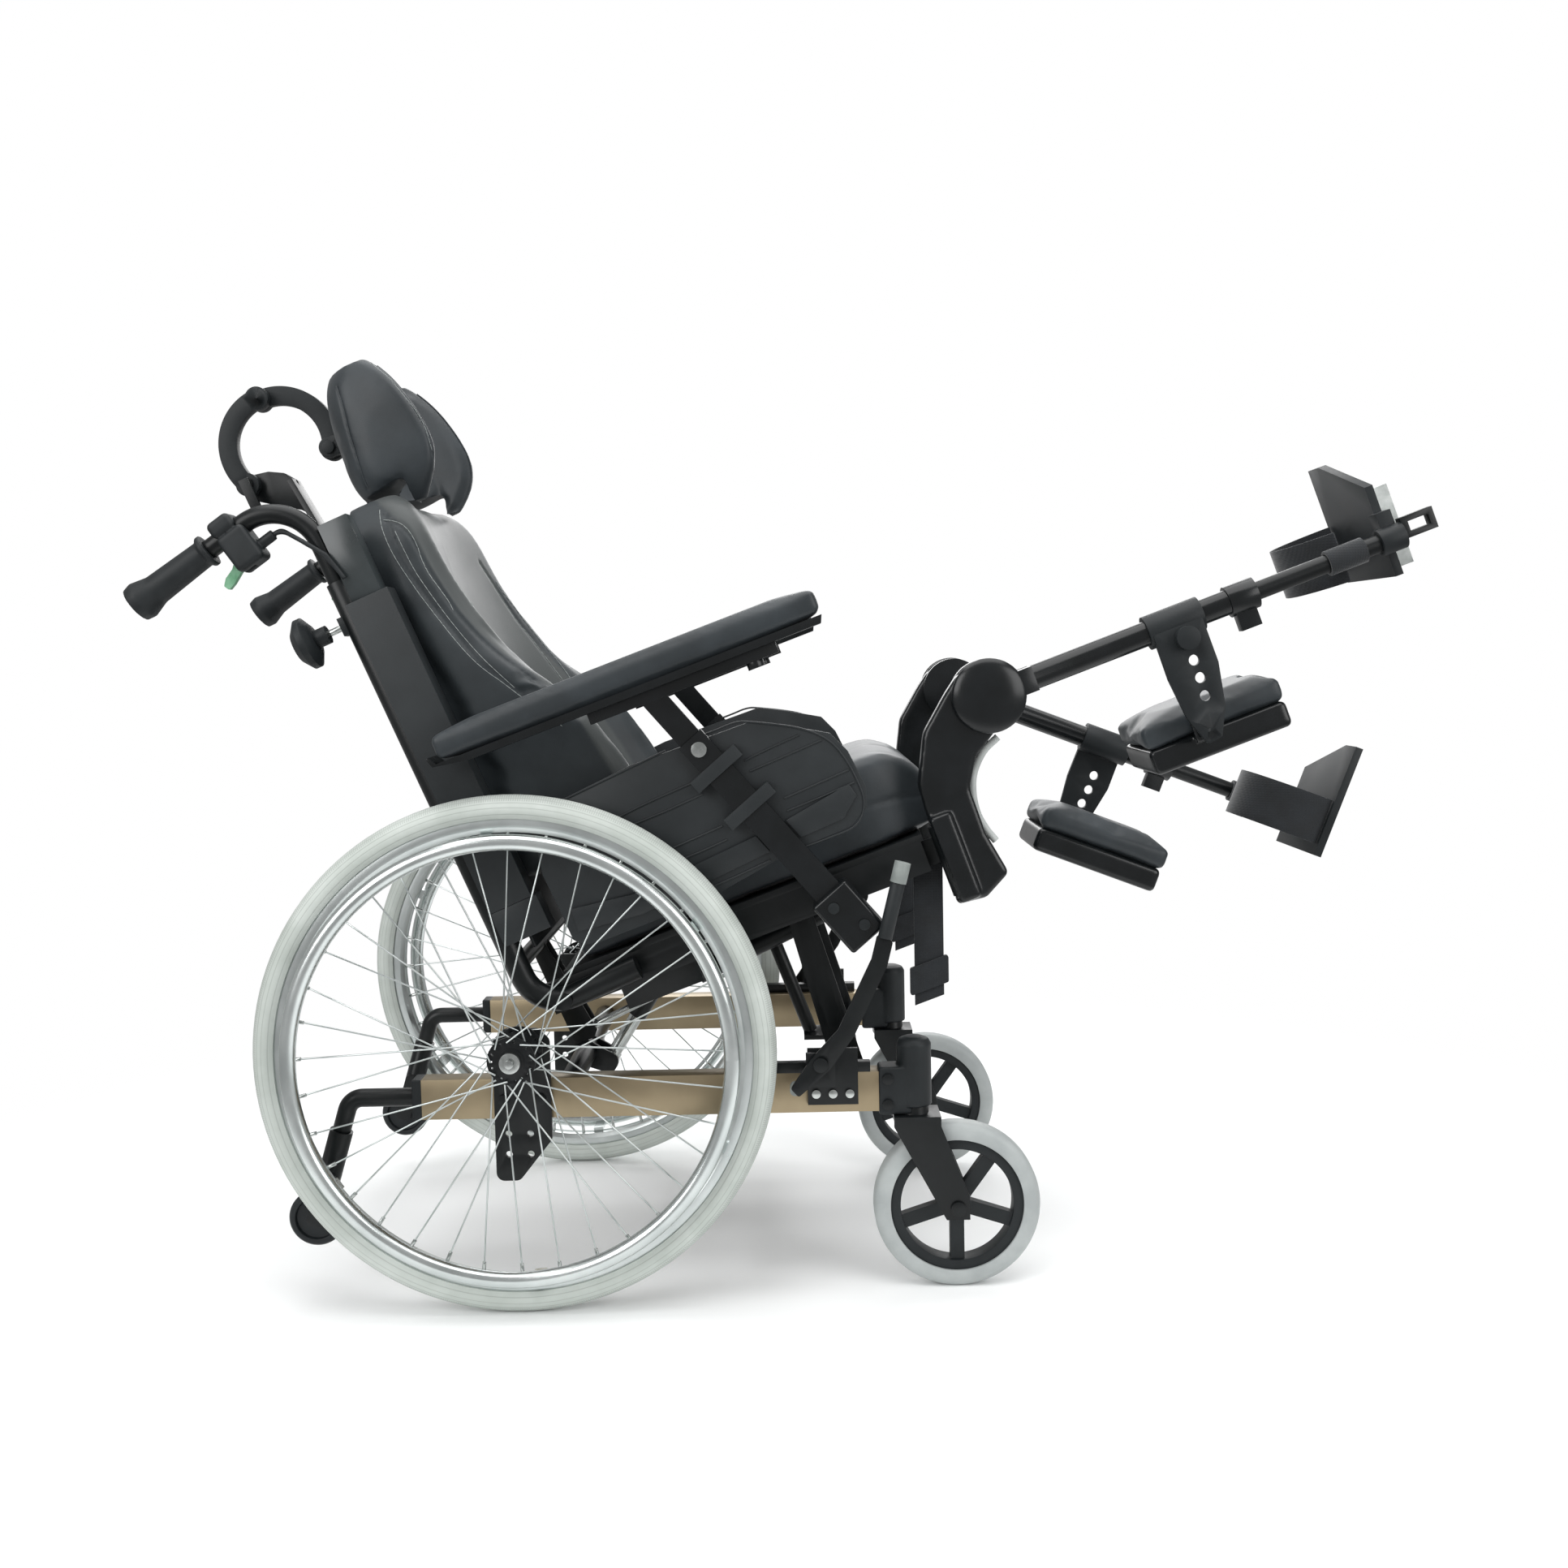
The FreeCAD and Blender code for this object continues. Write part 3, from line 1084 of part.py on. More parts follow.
def make_tilt_rod():
    reach, eye, half = S.tilt_rod_reach, S.knuckle_eye, S.knuckle_eye_half
    stem = rod("tilt_stem", S.tilt_rod, (0, 0, 0), "Z", reach)
    knuckle = rod("tilt_knuckle", eye, (0, -half, 0), "Y", 2 * half)
    hole = rod("tilt_knuckle_hole", S.knuckle_pin + S.running_gap, (0, -half, 0), "Y", 2 * half)
    return [cut("tilt_rod_body", fuse("tilt_rod_block", [stem, knuckle]), [hole])]


def make_tilt_cylinder():
    length, eye, half = S.tilt_body_length, S.tilt_eye, S.tilt_eye_half
    body = rod("tilt_body", S.tilt_body, (0, 0, -length), "Z", length)
    head = rod("tilt_eye", eye, (0, -half, 0), "Y", 2 * half)
    hole = rod("tilt_eye_hole", S.tilt_eye_hole, (0, -half - 3, 0), "Y", 2 * half + 6)
    bore = rod("tilt_bore", S.tilt_rod + S.slide_gap, (0, 0, -length), "Z", length - S.tilt_bore_stop)
    body_cut = cut("tilt_cylinder_body", fuse("tilt_cylinder_block", [body, head]), [hole, bore])
    return [body_cut]


node("tilt_rod", make_tilt_rod(), TILT_ACTUATOR)
TILT_TOP = TILT_ACTUATOR * Placement(Vector(0, 0, float(S.tilt_length)), Rotation())
node("tilt_cylinder", make_tilt_cylinder(), TILT_TOP)


def make_recline_cylinder():
    eye_half = S.recline_eye_half
    y = -S.recline_y
    body = rod("recline_body", S.recline_body, (0, y, 0), "Z", S.recline_body_length)
    head = rod("recline_eye", S.recline_body, (0, y - eye_half, 0), "Y", 2 * eye_half)
    hole = rod("recline_eye_hole", S.recline_pin + S.running_gap, (0, y - eye_half, 0), "Y",
               2 * eye_half)
    reach = S.recline_body + 5
    side = box("recline_side_room", (-reach, reach), (y - reach, y - eye_half), (-reach, reach))
    other = box("recline_other_room", (-reach, reach), (y + eye_half, y + reach), (-reach, reach))
    bore = rod("recline_bore", S.recline_rod + S.running_gap, (0, y, S.recline_bore_start), "Z",
               S.recline_body_length - S.recline_bore_start)
    return [cut("recline_cylinder_body", fuse("recline_cylinder_block", [body, head]),
                [hole, side, other, bore])]


def make_recline_rod():
    y, half = -S.recline_y, S.recline_eye_half
    stem = rod("recline_stem", S.recline_rod, (0, y, -S.recline_rod_reach), "Z", S.recline_rod_reach)
    head = rod("recline_rod_eye", S.recline_eye, (0, y - half, 0), "Y", 2 * half)
    hole = rod("recline_rod_hole", S.recline_eye_hole, (0, y - half, 0), "Y", 2 * half)
    return [cut("recline_rod_body", fuse("recline_rod_block", [stem, head]), [hole])]


node("recline_cylinder", make_recline_cylinder(), RECLINE_ACTUATOR)
RECLINE_END = RECLINE_ACTUATOR * Placement(Vector(0, 0, float(S.recline_length)), Rotation())
node("recline_rod", make_recline_rod(), RECLINE_END)


# Armrests

def make_arm_post():
    """The socket on the seat and the flat hollow post that stands in it."""
    half, out, inner = S.socket_half, S.socket_out, S.socket_in
    socket = rounded_box("arm_socket_block", (-half, half), (-out, -inner), (-S.socket_length, 0), 4)
    width, depth, mid = S.post_width / 2, S.post_depth / 2, S.post_mid_y
    room = box("arm_socket_room", (-width, width), (-mid - depth, -mid + depth),
               (-S.socket_length + 10, 0))
    post = box("post_outside", (-width, width), (-mid - depth, -mid + depth),
               (-S.socket_length + 10, S.post_top))
    wall = S.post_wall
    cavity = box("post_cavity", (-width + wall, width - wall),
                 (-mid - depth + wall, -mid + depth - wall), (S.post_inside, S.post_top))
    pieces = [cut("arm_socket", socket, [room]), cut("arm_post_tube", post, [cavity])]
    pieces.append(rod("arm_post_bolt", S.post_bolt,
                      (0, -mid - depth - S.post_bolt_height, S.post_bolt_z), "Y",
                      S.post_bolt_height))
    for x, z in ((-6, -16), (8, -54)):
        pieces.append(rod("arm_socket_bolt", S.bolt_head, (x, -out - S.bolt_head_height, z), "Y",
                          S.bolt_head_height))
    return pieces


PANEL_OUTLINE = [(212, 385), (224, 374), (242, 371), (374, 372), (480, 388), (566, 392),
                 (590, 406), (598, 430), (593, 476), (581, 503), (534, 531), (500, 549),
                 (352, 552), (219, 540), (207, 470), (211, 418)]


def make_side_panel():
    """The clothes guard and the two loops that carry it on the arm post."""
    panel = plate("panel_sheet", "XZ", PANEL_OUTLINE, S.panel_thickness, (0, -S.panel_y, 0))
    rib = [(222, 392), (300, 384), (480, 400), (560, 404), (584, 424), (580, 440), (480, 424),
           (300, 410), (224, 420)]
    face = S.panel_y + S.panel_thickness / 2
    ribs = plate("panel_rib", "XZ", rib, 3, (0, -face - 1.5, 0))
    room = box("panel_rib_room", (-S.post_width / 2 - 2, S.post_width / 2 + 2),
               (-face - 3, -face), (0, S.post_top))
    room_seat = group("panel_rib_room_seat", [room])
    room_seat.Placement = SEAT.inverse() * ARM
    loops = []
    half, wide, thick = S.loop_half_length, S.post_width / 2 + 0.2, S.loop_thickness
    post_out = S.post_mid_y + S.post_depth / 2 + 0.2
    for number in range(2):
        low = S.loop_low + number * S.loop_pitch
        band = box("panel_loop", (-half, half), (-post_out - thick, -face), (low, low + S.loop_height))
        hole = box("panel_loop_room", (-wide, wide), (-post_out, -face), (low, low + S.loop_height))
        loops.append(cut("panel_loop_cut", band, [hole]))
    loops_seat = group("panel_loops_seat", loops)
    loops_seat.Placement = SEAT.inverse() * ARM
    return [panel, cut("panel_ribs", ribs, [room_seat]), loops_seat]


def make_arm_pad():
    """The padded rest on its tray, and the flat bar that slides in the post."""
    y = S.armpad_y
    width = S.post_width / 2 - S.post_wall - S.slide_gap
    depth = S.post_depth / 2 - S.post_wall - S.slide_gap
    bar = box("arm_slider", (-width, width), (-S.post_mid_y - depth, -S.post_mid_y + depth),
              (S.slider_start, S.slider_top))
    low, high, rear, front = S.armpad_low, S.armpad_low + S.armpad_height, S.armpad_rear, S.armpad_front
    tray = S.armpad_low - S.tray_height
    outline = [(rear, low), (rear - 6, low + 10), (rear - 9, low + 9), (rear - 5, low - 2),
               (rear + 38, tray), (front - 8, tray), (front - 4, low)]
    cup = plate("arm_tray", "XZ", outline, 2 * S.tray_half, (0, -y, 0))
    beam = box("arm_beam", (S.beam_rear, S.beam_front), (-y - S.beam_half, -S.post_mid_y + depth),
               (S.beam_low, tray))
    pad = rounded_box("arm_cushion", (rear, front), (-y - S.armpad_half, -y + S.armpad_half),
                      (low, high), 11)
    knob = rod("arm_knob", 10, (S.beam_front - 30, -y, S.beam_low - 8), "Z", 8)
    seat_side = group("arm_beam_seat", [beam])
    seat_side.Placement = ARM.inverse() * SEAT
    others = group("arm_pad_seat", [pad, cup, knob])
    others.Placement = ARM.inverse() * SEAT
    return [fuse("arm_slider_beam", [bar, seat_side]), others]


pair("arm_post", make_arm_post(), ARM)
pair("side_panel", make_side_panel(), SEAT)
pair("arm_pad", make_arm_pad(), ARM)


# Back, in the frame of its recline pivot

HEAD_BAR = frame(S.head_bar_x, S.head_bar_z, -S.head_bar_lean)


def make_back_frame():
    x, y, radius = S.upright_x, S.upright_y, S.upright_radius
    route = [(x, -y, S.upright_top), (x, -y, 0), (S.arm_forward, -y, 0)]
    right = bent_rod("upright", radius, route, S.upright_bend)
    left = bent_rod("upright_left", radius, [(a, -b, c) for a, b, c in route], S.upright_bend)
    lower = rod("lower_cross_bar", S.cross_bar_radius, (x, -y, S.lower_cross_z), "Y", 2 * y)
    upper = rod("upper_cross_bar", S.cross_bar_radius, (x, -y, S.upper_cross_z), "Y", 2 * y)
    wall, half, thick = S.head_sleeve_wall, S.head_bar_half, S.head_bar_thickness / 2
    sleeve = box("head_sleeve", (-thick - wall, 24), (-half - wall, half + wall),
                 (-10, S.head_sleeve_height))
    slot = box("head_slot", (-thick - S.slide_gap, thick + S.slide_gap),
               (-half - S.slide_gap, half + S.slide_gap), (-40, S.head_sleeve_height))
    sleeve_back = group("head_sleeve_back", [sleeve])
    sleeve_back.Placement = HEAD_BAR
    slot_back = group("head_slot_back", [slot])
    slot_back.Placement = HEAD_BAR
    lugs = []
    for side in (-1, 1):
        middle = -S.recline_y + side * (S.recline_ear_in + 2)
        outline = [(x - 9, S.lower_cross_z + 4), (x - 9, S.recline_lug_z - 4),
                   (x - 3, S.recline_lug_z - 11), (S.recline_lug_x + 6, S.recline_lug_z - 11),
                   (S.recline_lug_x + 13, S.recline_lug_z - 4), (x + 9, S.lower_cross_z + 4)]
        lugs.append(plate("recline_lug", "XZ", outline, 4, (0, middle, 0)))
    frame_block = fuse("back_frame_block", [right, left, lower, upper, sleeve_back] + lugs)
    tools = [slot_back]
    for side in (-1, 1):
        start = S.upright_top - S.handle_bore_depth
        tools.append(rod("handle_bore", S.handle_radius + S.running_gap, (x, side * y, start), "Z",
                         S.handle_bore_depth))
        tools.append(rod("back_pivot_hole", S.pivot_pin + S.running_gap,
                         (0, side * y - radius, 0), "Y", 2 * radius))
    reach = S.recline_ear_in + 4
    tools.append(rod("recline_lug_hole", S.recline_pin,
                     (S.recline_lug_x, -S.recline_y - reach, S.recline_lug_z), "Y", 2 * reach))
    pin = rod("recline_lug_pin", S.recline_pin,
              (S.recline_lug_x, -S.recline_y - reach, S.recline_lug_z), "Y", 2 * reach)
    return [cut("back_frame_tubes", frame_block, tools), pin] + make_back_knobs()


def make_back_knobs():
    """A big knob on each upright and a small one on the headrest's sleeve."""
    x, y, z = S.upright_x, S.upright_y, S.knob_z
    pieces = []
    for side in (-1, 1):
        face = x - S.upright_radius
        block = box("knob_saddle_block", (face - 4, x), (side * y - 9, side * y + 9), (z - 11, z + 11))
        room = rod("knob_saddle_room", S.upright_radius, (x, side * y, z - 11), "Z", 22)
        collar = cut("knob_saddle", block, [room])
        start = face - 4 - S.knob_stud_length
        stud = rod("knob_stud", S.knob_stud, (start, side * y, z), "X", S.knob_stud_length)
        boss = rod("knob_boss", S.knob_boss, (start - S.knob_boss_length, side * y, z), "X",
                   S.knob_boss_length)
        thick = S.knob_thickness
        wheel = lathe("knob_wheel", [(0, -thick), (S.knob_radius * 0.6, -thick),
                                     (S.knob_radius, -thick * 0.6), (S.knob_radius, -thick * 0.3),
                                     (S.knob_radius * 0.6, 0), (0, 0)],
                      (start - S.knob_boss_length, side * y, z), "X")
        pieces += [collar, stud, boss, wheel]
    wall, thick = S.head_sleeve_wall, S.head_bar_thickness / 2
    low = S.head_sleeve_height - 16
    stud = rod("sleeve_stud", 4, (-thick - wall - 14, 0, low), "X", 14)
    wing = rounded_box("sleeve_knob", (-thick - wall - 26, -thick - wall - 14), (-8, 8),
                       (low - 20, low + 20), 5)
    small = group("sleeve_knob_back", [stud, wing])
    small.Placement = HEAD_BAR
    return pieces + [small]


node("back_frame", make_back_frame(), BACK)


def make_back_shell():
    """The back panel, and the long covers that wrap the uprights."""
    rear, thick, half = S.shell_rear, S.shell_thickness, S.shell_half_width
    panel = box("back_panel", (rear, rear + thick), (-half, half), (S.shell_low, S.shell_top))
    x, y, radius = S.upright_x, S.upright_y, S.upright_radius
    pieces = []
    parts = (("lower_cover", S.cover_low, S.cover_split, S.cover_out, S.cover_front),
             ("upper_cover", S.cover_split + 0.3, S.cover_top, S.cover_out - S.cover_inset,
              S.cover_front - 9),
             ("skirt", S.skirt_low, S.cover_low - 0.3, S.cover_out, S.skirt_front))
    for name, low, high, out, front in parts:
        block = box(name + "_block", (S.cover_lip_rear, front), (-out, -half), (low, high))
        core = rod(name + "_core", radius, (x, -y, low - 1), "Z", high - low + 2)
        behind = box(name + "_behind", (S.cover_lip_rear, x + radius), (-y + 0, -half), (low, high))
        pieces.append(cut(name, block, [core, behind]))
    return [panel] + both_sides(pieces)


node("back_shell", make_back_shell(), BACK)


def back_section(z, half, wing, centre, rear):
    """A back cushion's cross-section: flat behind, raised wings, scooped between them."""
    crest, turn = 30.0, 12.0
    return Part.Wire([
        line((rear, -half + turn, z), (rear, half - turn, z)),
        arc((rear, half - turn, z), (rear + 3.5, half - 3.5, z), (rear + turn, half, z)),
        line((rear + turn, half, z), (wing - 22, half, z)),
        arc((wing - 22, half, z), (wing - 5, half - 7, z), (wing, half - crest, z)),
        arc((wing, half - crest, z), (centre, 0, z), (wing, -half + crest, z)),
        arc((wing, -half + crest, z), (wing - 5, -half + 7, z), (wing - 22, -half, z)),
        line((wing - 22, -half, z), (rear + turn, -half, z)),
        arc((rear + turn, -half, z), (rear + 3.5, -half + 3.5, z), (rear, -half + turn, z))])


BACK_STATIONS = [(0, 194, 172, 60), (12, 201, 184, 60), (60, 203, 188, 62), (120, 204, 178, 60),
                 (185, 204, 155, 56), (255, 204, 118, 52), (335, 203, 88, 50),
                 (415, 200, 78, 54), (470, 190, 72, 56), (495, 174, 62, 50), (507, 152, 50, 44)]


def make_back_cushion():
    rear, low = float(S.shell_rear + S.shell_thickness), float(S.back_low)
    sections = [back_section(low + z, half, wing, centre, rear)
                for z, half, wing, centre in BACK_STATIONS]
    return [solid_through("back_foam", sections)]


node("back_cushion", make_back_cushion(), BACK)


# Push handles, in the back's frame, and their grips

def handle_end():
    turn = math.radians(float(S.handle_turn))
    reach = float(S.handle_corner_reach + S.grip_length)
    return (float(S.upright_x) - reach * math.cos(turn),
            float(S.handle_corner_z) - reach * math.sin(turn))


def make_push_handle():
    end = handle_end()
    y = -S.upright_y
    return [bent_rod("handle_tube", S.handle_radius,
                     [(S.upright_x, y, S.handle_start_z), (S.upright_x, y, S.handle_corner_z),
                      (end[0], y, end[1])], S.handle_bend)]


def make_grip():
    y, length, radius = -S.upright_y, S.grip_length, S.handle_radius
    collar = S.grip_collar_length
    profile = [(radius, 0), (S.grip_collar, 0), (S.grip_collar, -collar), (S.grip_radius, -collar - 3),
               (S.grip_swell, -length * 0.76), (S.grip_flare, -length * 0.95),
               (S.grip_flare - 2, -length - collar), (0, -length - collar), (0, -length),
               (radius, -length)]
    grip = lathe("grip", profile, (0, y, 0), "X")
    start, end = S.housing_start, S.housing_start + S.housing_length
    half, corner = S.housing_half, S.housing_corner
    lower = rounded_box("housing_lower", (start, end), (y - half, y + half), (-S.housing_down, 0.01),
                        corner)
    upper = rounded_box("housing_upper", (start, end - 6), (y - half, y + half), (0.3, S.housing_up),
                        corner)
    bar, bar_above = handle_room("housing_room"), handle_room("housing_room_above")
    slot = box("lever_slot", (start, S.lever_slot_front), (y - S.lever_slot_half, y + S.lever_slot_half),
               (-S.housing_down, -S.lever_slot_top))
    gland = rod("cable_gland", S.cable_gland, (end, y, S.cable_gland_z), "X", S.cable_gland_length)
    pin = rod("lever_pin", S.lever_pin, (S.lever_x, y - half + corner, S.lever_z), "Y",
              2 * (half - corner))
    hole = rod("lever_pin_hole", S.lever_pin, (S.lever_x, y - half + corner, S.lever_z), "Y",
               2 * (half - corner))
    housing = cut("housing_lower_cut", lower, [bar, slot, hole])
    covered = fuse("cable_and_gland", [gland, make_cable(end + S.cable_gland_length - 2, y)])
    return [grip, housing, cut("housing_upper_cut", upper, [bar_above]), pin, covered]


def handle_room(name):
    """The bent handle tube, placed in the grip's frame, to clear the housing round it."""
    item = group(name, make_push_handle())
    item.Placement = HANDLE.inverse() * BACK
    return item


def make_cable(start, y):
    """The brake cable that arches from the housing to the back's side cover."""
    points = [(start, y, S.cable_gland_z), (float(start) + 12, y, S.cable_gland_z),
              (float(start) + 27, float(y) - 17.5, -60), (float(start) + 40, float(y) - 17.5, -90),
              (float(start) + 41, float(y) - 17.5, -124)]
    return bent_rod("brake_cable", S.cable_radius, points, 12)


def make_release_lever():
    x, z = S.lever_x, S.lever_z
    outline = [(x + 6, z + 6), (x - 5, z + 6), (x - 14, z - 1), (x - 27, z - 5), (x - 34, z - 11),
               (x - 32, z - 18), (x - 23, z - 16), (x - 8, z - 10), (x + 4, z - 7)]
    return [plate("release_trigger", "XZ", outline, 2 * S.lever_half, (0, -S.upright_y, 0), corner=2,
                  holes=[(x, z, S.lever_pin + S.running_gap)])]


pair("push_handle", make_push_handle(), BACK)
pair("handle_grip", make_grip(), HANDLE)
pair("release_lever", make_release_lever(), HANDLE)


# Headrest, in the back's frame

def arc_band(name, middle_radius, half_width, y, thickness, start, end):
    """A flat band along an arc about the headrest ring's centre, angles from +X to +Z."""
    centre = (S.head_arc_x, y, S.head_arc_z)
    turn = Rotation(Vector(0, 1, 0), -end).multiply(TURNS["Y"])
    shapes = []
    for radius in (middle_radius + half_width, middle_radius - half_width):
        item = doc.addObject("Part::Cylinder", name + "_disc")
        bind(item, "Radius", radius)
        bind(item, "Height", thickness)
        item.Angle = end - start
        shapes.append(put(item, centre, turn))
    return cut(name, shapes[0], [shapes[1]])


def head_joints():
    x, z = S.head_arc_x, S.head_arc_z
    return ((x - S.head_joint_x, z - S.head_joint_z), (x, z + S.head_arc_radius),
            (x + S.head_joint_x, z - S.head_joint_z))


J1, J2, J3 = head_joints()


def headed_pin(name, at, y_low, y_high, head_low):
    """A pin along Y with a wider head at its low or high end."""
    shank = rod(name, S.head_pin, (at[0], y_low, at[1]), "Y", y_high - y_low)
    start = y_low - S.head_pin_head_height if head_low else y_high
    head = rod(name + "_head", S.head_pin_head, (at[0], start, at[1]), "Y", S.head_pin_head_height)
    return fuse(name + "_headed", [shank, head])


def make_headrest_bar():
    thick, half = S.head_bar_thickness / 2, S.head_bar_half
    bar = box("head_bar", (-thick, thick), (-half, half),
              (S.head_bar_start, S.head_bar_length + S.head_bar_start))
    placed = group("head_bar_placed", [bar])
    placed.Placement = HEAD_BAR
    gap, arm = S.head_gap, S.head_arm
    outline = [(-146, 738), (-150, 756), (-139, 768), (-110, 762), (-92, 752), (-80, 736),
               (-84, 690), (-92, 700), (-116, 716)]
    lug = plate("head_lug", "XZ", outline, arm - 3, (0, gap + (arm - 3) / 2, 0), corner=3)
    boss = rod("head_lug_boss", S.head_eye, (J1[0], gap, J1[1]), "Y", arm - 3)
    block = fuse("head_bar_block", [placed, lug, boss])
    hole = rod("head_lug_hole", S.head_pin, (J1[0], gap, J1[1]), "Y", arm - 3)
    low = -gap - arm - 0.3
    pin = headed_pin("head_pin_one", J1, low, gap + arm - 3, True)
    width = S.head_lever_width / 2
    lever = box("head_clamp_lever", (J1[0] - width, J1[0] + width),
                (low - S.head_pin_head_height - 6, low - S.head_pin_head_height),
                (J1[1] - S.head_lever_length, J1[1] + width))
    return [cut("head_bar_piece", block, [hole]), pin, lever]


def make_lower_arm():
    gap, arm, radius = S.head_gap, S.head_arm, S.head_arc_radius
    low = -gap - arm
    band = arc_band("lower_band", radius, S.head_band, low, arm, 90.4, 206.8)
    eyes = [rod("lower_eye", S.head_eye, (point[0], low, point[1]), "Y", arm) for point in (J1, J2)]
    block = fuse("lower_arm_block", [band] + eyes)
    holes = [rod("lower_hole", S.head_pin + S.running_gap, (J1[0], low, J1[1]), "Y", arm),
             rod("lower_pin_hole", S.head_pin, (J2[0], low, J2[1]), "Y", arm)]
    pin = headed_pin("head_pin_two", J2, low, gap + arm + 0.3, False)
    return [cut("lower_arm", block, holes), pin]


def make_upper_arm():
    gap, arm, radius = S.head_gap, S.head_arm, S.head_arc_radius
    band = arc_band("upper_band", radius, S.head_band, gap, arm, -26.8, 90.4)
    eyes = [rod("upper_eye", S.head_eye, (point[0], gap, point[1]), "Y", arm) for point in (J2, J3)]
    block = fuse("upper_arm_block", [band] + eyes)
    holes = [rod("upper_hole", S.head_pin + S.running_gap, (J2[0], gap, J2[1]), "Y", arm),
             rod("upper_pin_hole", S.head_pin, (J3[0], gap, J3[1]), "Y", arm)]
    pin = headed_pin("head_pin_three", J3, -gap - arm - 0.3, gap + arm, True)
    return [cut("upper_arm", block, holes), pin]


def pad_section(z, rear, tip, half):
    """The headrest's cross-section: a shallow cup with a wing on each side."""
    return Part.Wire([
        line((rear, -half + 50, z), (rear, half - 50, z)),
        arc((rear, half - 50, z), (rear + 13, half - 16, z), (rear + 40, half, z)),
        line((rear + 40, half, z), (tip - 14, half, z)),
        arc((tip - 14, half, z), (tip, half - 13, z), (tip - 12, half - 27, z)),
        arc((tip - 12, half - 27, z), (rear + 32, 0, z), (tip - 12, -half + 27, z)),
        arc((tip - 12, -half + 27, z), (tip, -half + 13, z), (tip - 14, -half, z)),
        line((tip - 14, -half, z), (rear + 40, -half, z)),
        arc((rear + 40, -half, z), (rear + 13, -half + 16, z), (rear, -half + 50, z))])


PAD_STATIONS = [(-19, 12, 88, 112), (0, 4, 106, 124), (32, -2, 124, 131), (70, 0, 126, 132),
                (115, 6, 118, 131), (152, 14, 104, 126), (176, 24, 88, 114)]


def make_headrest_pad():
    half, low = float(S.pad_half_width) - 132, float(S.pad_low)
    sections = [pad_section(low + z, rear, tip, wide + half) for z, rear, tip, wide in PAD_STATIONS]
    foam = solid_through("head_foam", sections)
    gap, arm = S.head_gap, S.head_arm
    plate_half = S.pad_plate_half
    rear = S.pad_back_x
    mount = box("head_mount", (rear, rear + 15.9), (-plate_half, plate_half), (J3[1] - 32, J3[1] + 12))
    lug = box("head_pad_lug", (J3[0], rear + 8), (-gap - arm, -gap), (J3[1] - 13, J3[1] + 12))
    eye = rod("head_pad_eye", 13, (J3[0], -gap - arm, J3[1]), "Y", arm)
    room = rod("head_pad_room", S.head_eye + 1, (J3[0], 0, J3[1]), "Y", arm + 1)
    hole = rod("head_pad_hole", S.head_pin + S.running_gap, (J3[0], -gap - arm, J3[1]), "Y", arm)
    bracket = cut("head_pad_bracket", fuse("head_pad_block", [mount, lug, eye]), [hole, room])
    foam_room = box("head_foam_room", (rear, rear + 16), (-plate_half, plate_half),
                    (J3[1] - 32, J3[1] + 12))
    above_back = box("head_back_room", (-60, S.pad_notch_x), (-180, 180), (560, S.pad_notch_z))
    return [cut("head_pad", foam, [foam_room, above_back]), bracket]


node("headrest_bar", make_headrest_bar(), BACK)
node("headrest_lower_arm", make_lower_arm(), BACK)
node("headrest_upper_arm", make_upper_arm(), BACK)
node("headrest_pad", make_headrest_pad(), BACK)


# Legrests: the hanger in the seat's frame, the rest in the leg's own frame at the knee

def hanger_outline():
    """The shell's outline: its foot keeps to the receiver, its head to the knee."""
    foot, head = S.receiver_u, S.knee_u
    middle = S.receiver_u / 2 + S.knee_u / 2
    return [(foot - 12, 254), (foot - 9, 365), (foot - 6, 404), (middle - 32, 460), (head - 46, 494),
            (head - 27, 508), (head, 512), (head + 18, 474), (head - 8, 432), (middle + 14, 412),
            (foot + 48, 379), (foot + 47, 321), (foot + 56, 268), (foot + 22, 250)]


def make_hanger():
    y, thick = S.leg_y, S.hanger_thickness
    shell = plate("hanger_shell", "XZ", hanger_outline(), thick, (0, -y, 0))
    knee = rod("hanger_knee", S.knee_radius - 5, (S.knee_u, -y - thick / 2, S.knee_w), "Y", thick)
    axis_u, axis_y = S.receiver_u, -S.receiver_y
    gap = S.face_gap
    room = box("receiver_room", (S.receiver_u - 16, S.receiver_u + 17),
               (-y - thick / 2, -y + thick / 2), (S.receiver_low - gap, S.receiver_top + gap))
    room_round = rod("receiver_room_round", S.receiver_radius + 4, (axis_u, axis_y, S.receiver_low - gap),
                     "Z", S.receiver_top - S.receiver_low + 2 * gap)
    knee_hole = rod("knee_hole", S.knee_pin + S.running_gap,
                    (S.knee_u, -y - thick / 2, S.knee_w), "Y", thick)
    pin_low = S.receiver_low - gap - 6
    pin_length = S.receiver_top - S.receiver_low + 2 * gap + 12
    pin_hole = rod("hanger_pin_hole", S.hanger_pin, (axis_u, axis_y, pin_low), "Z", pin_length)
    pin = rod("hanger_pin", S.hanger_pin, (axis_u, axis_y, pin_low), "Z", pin_length)
    latch = box("hanger_latch", (S.receiver_u - 9, S.receiver_u + 16),
                (-y - thick / 2 - 10, -y - thick / 2), (S.box_low, S.box_top))
    block = fuse("hanger_block", [shell, knee])
    return [cut("hanger", block, [room, room_round, knee_hole, pin_hole]), pin, latch]


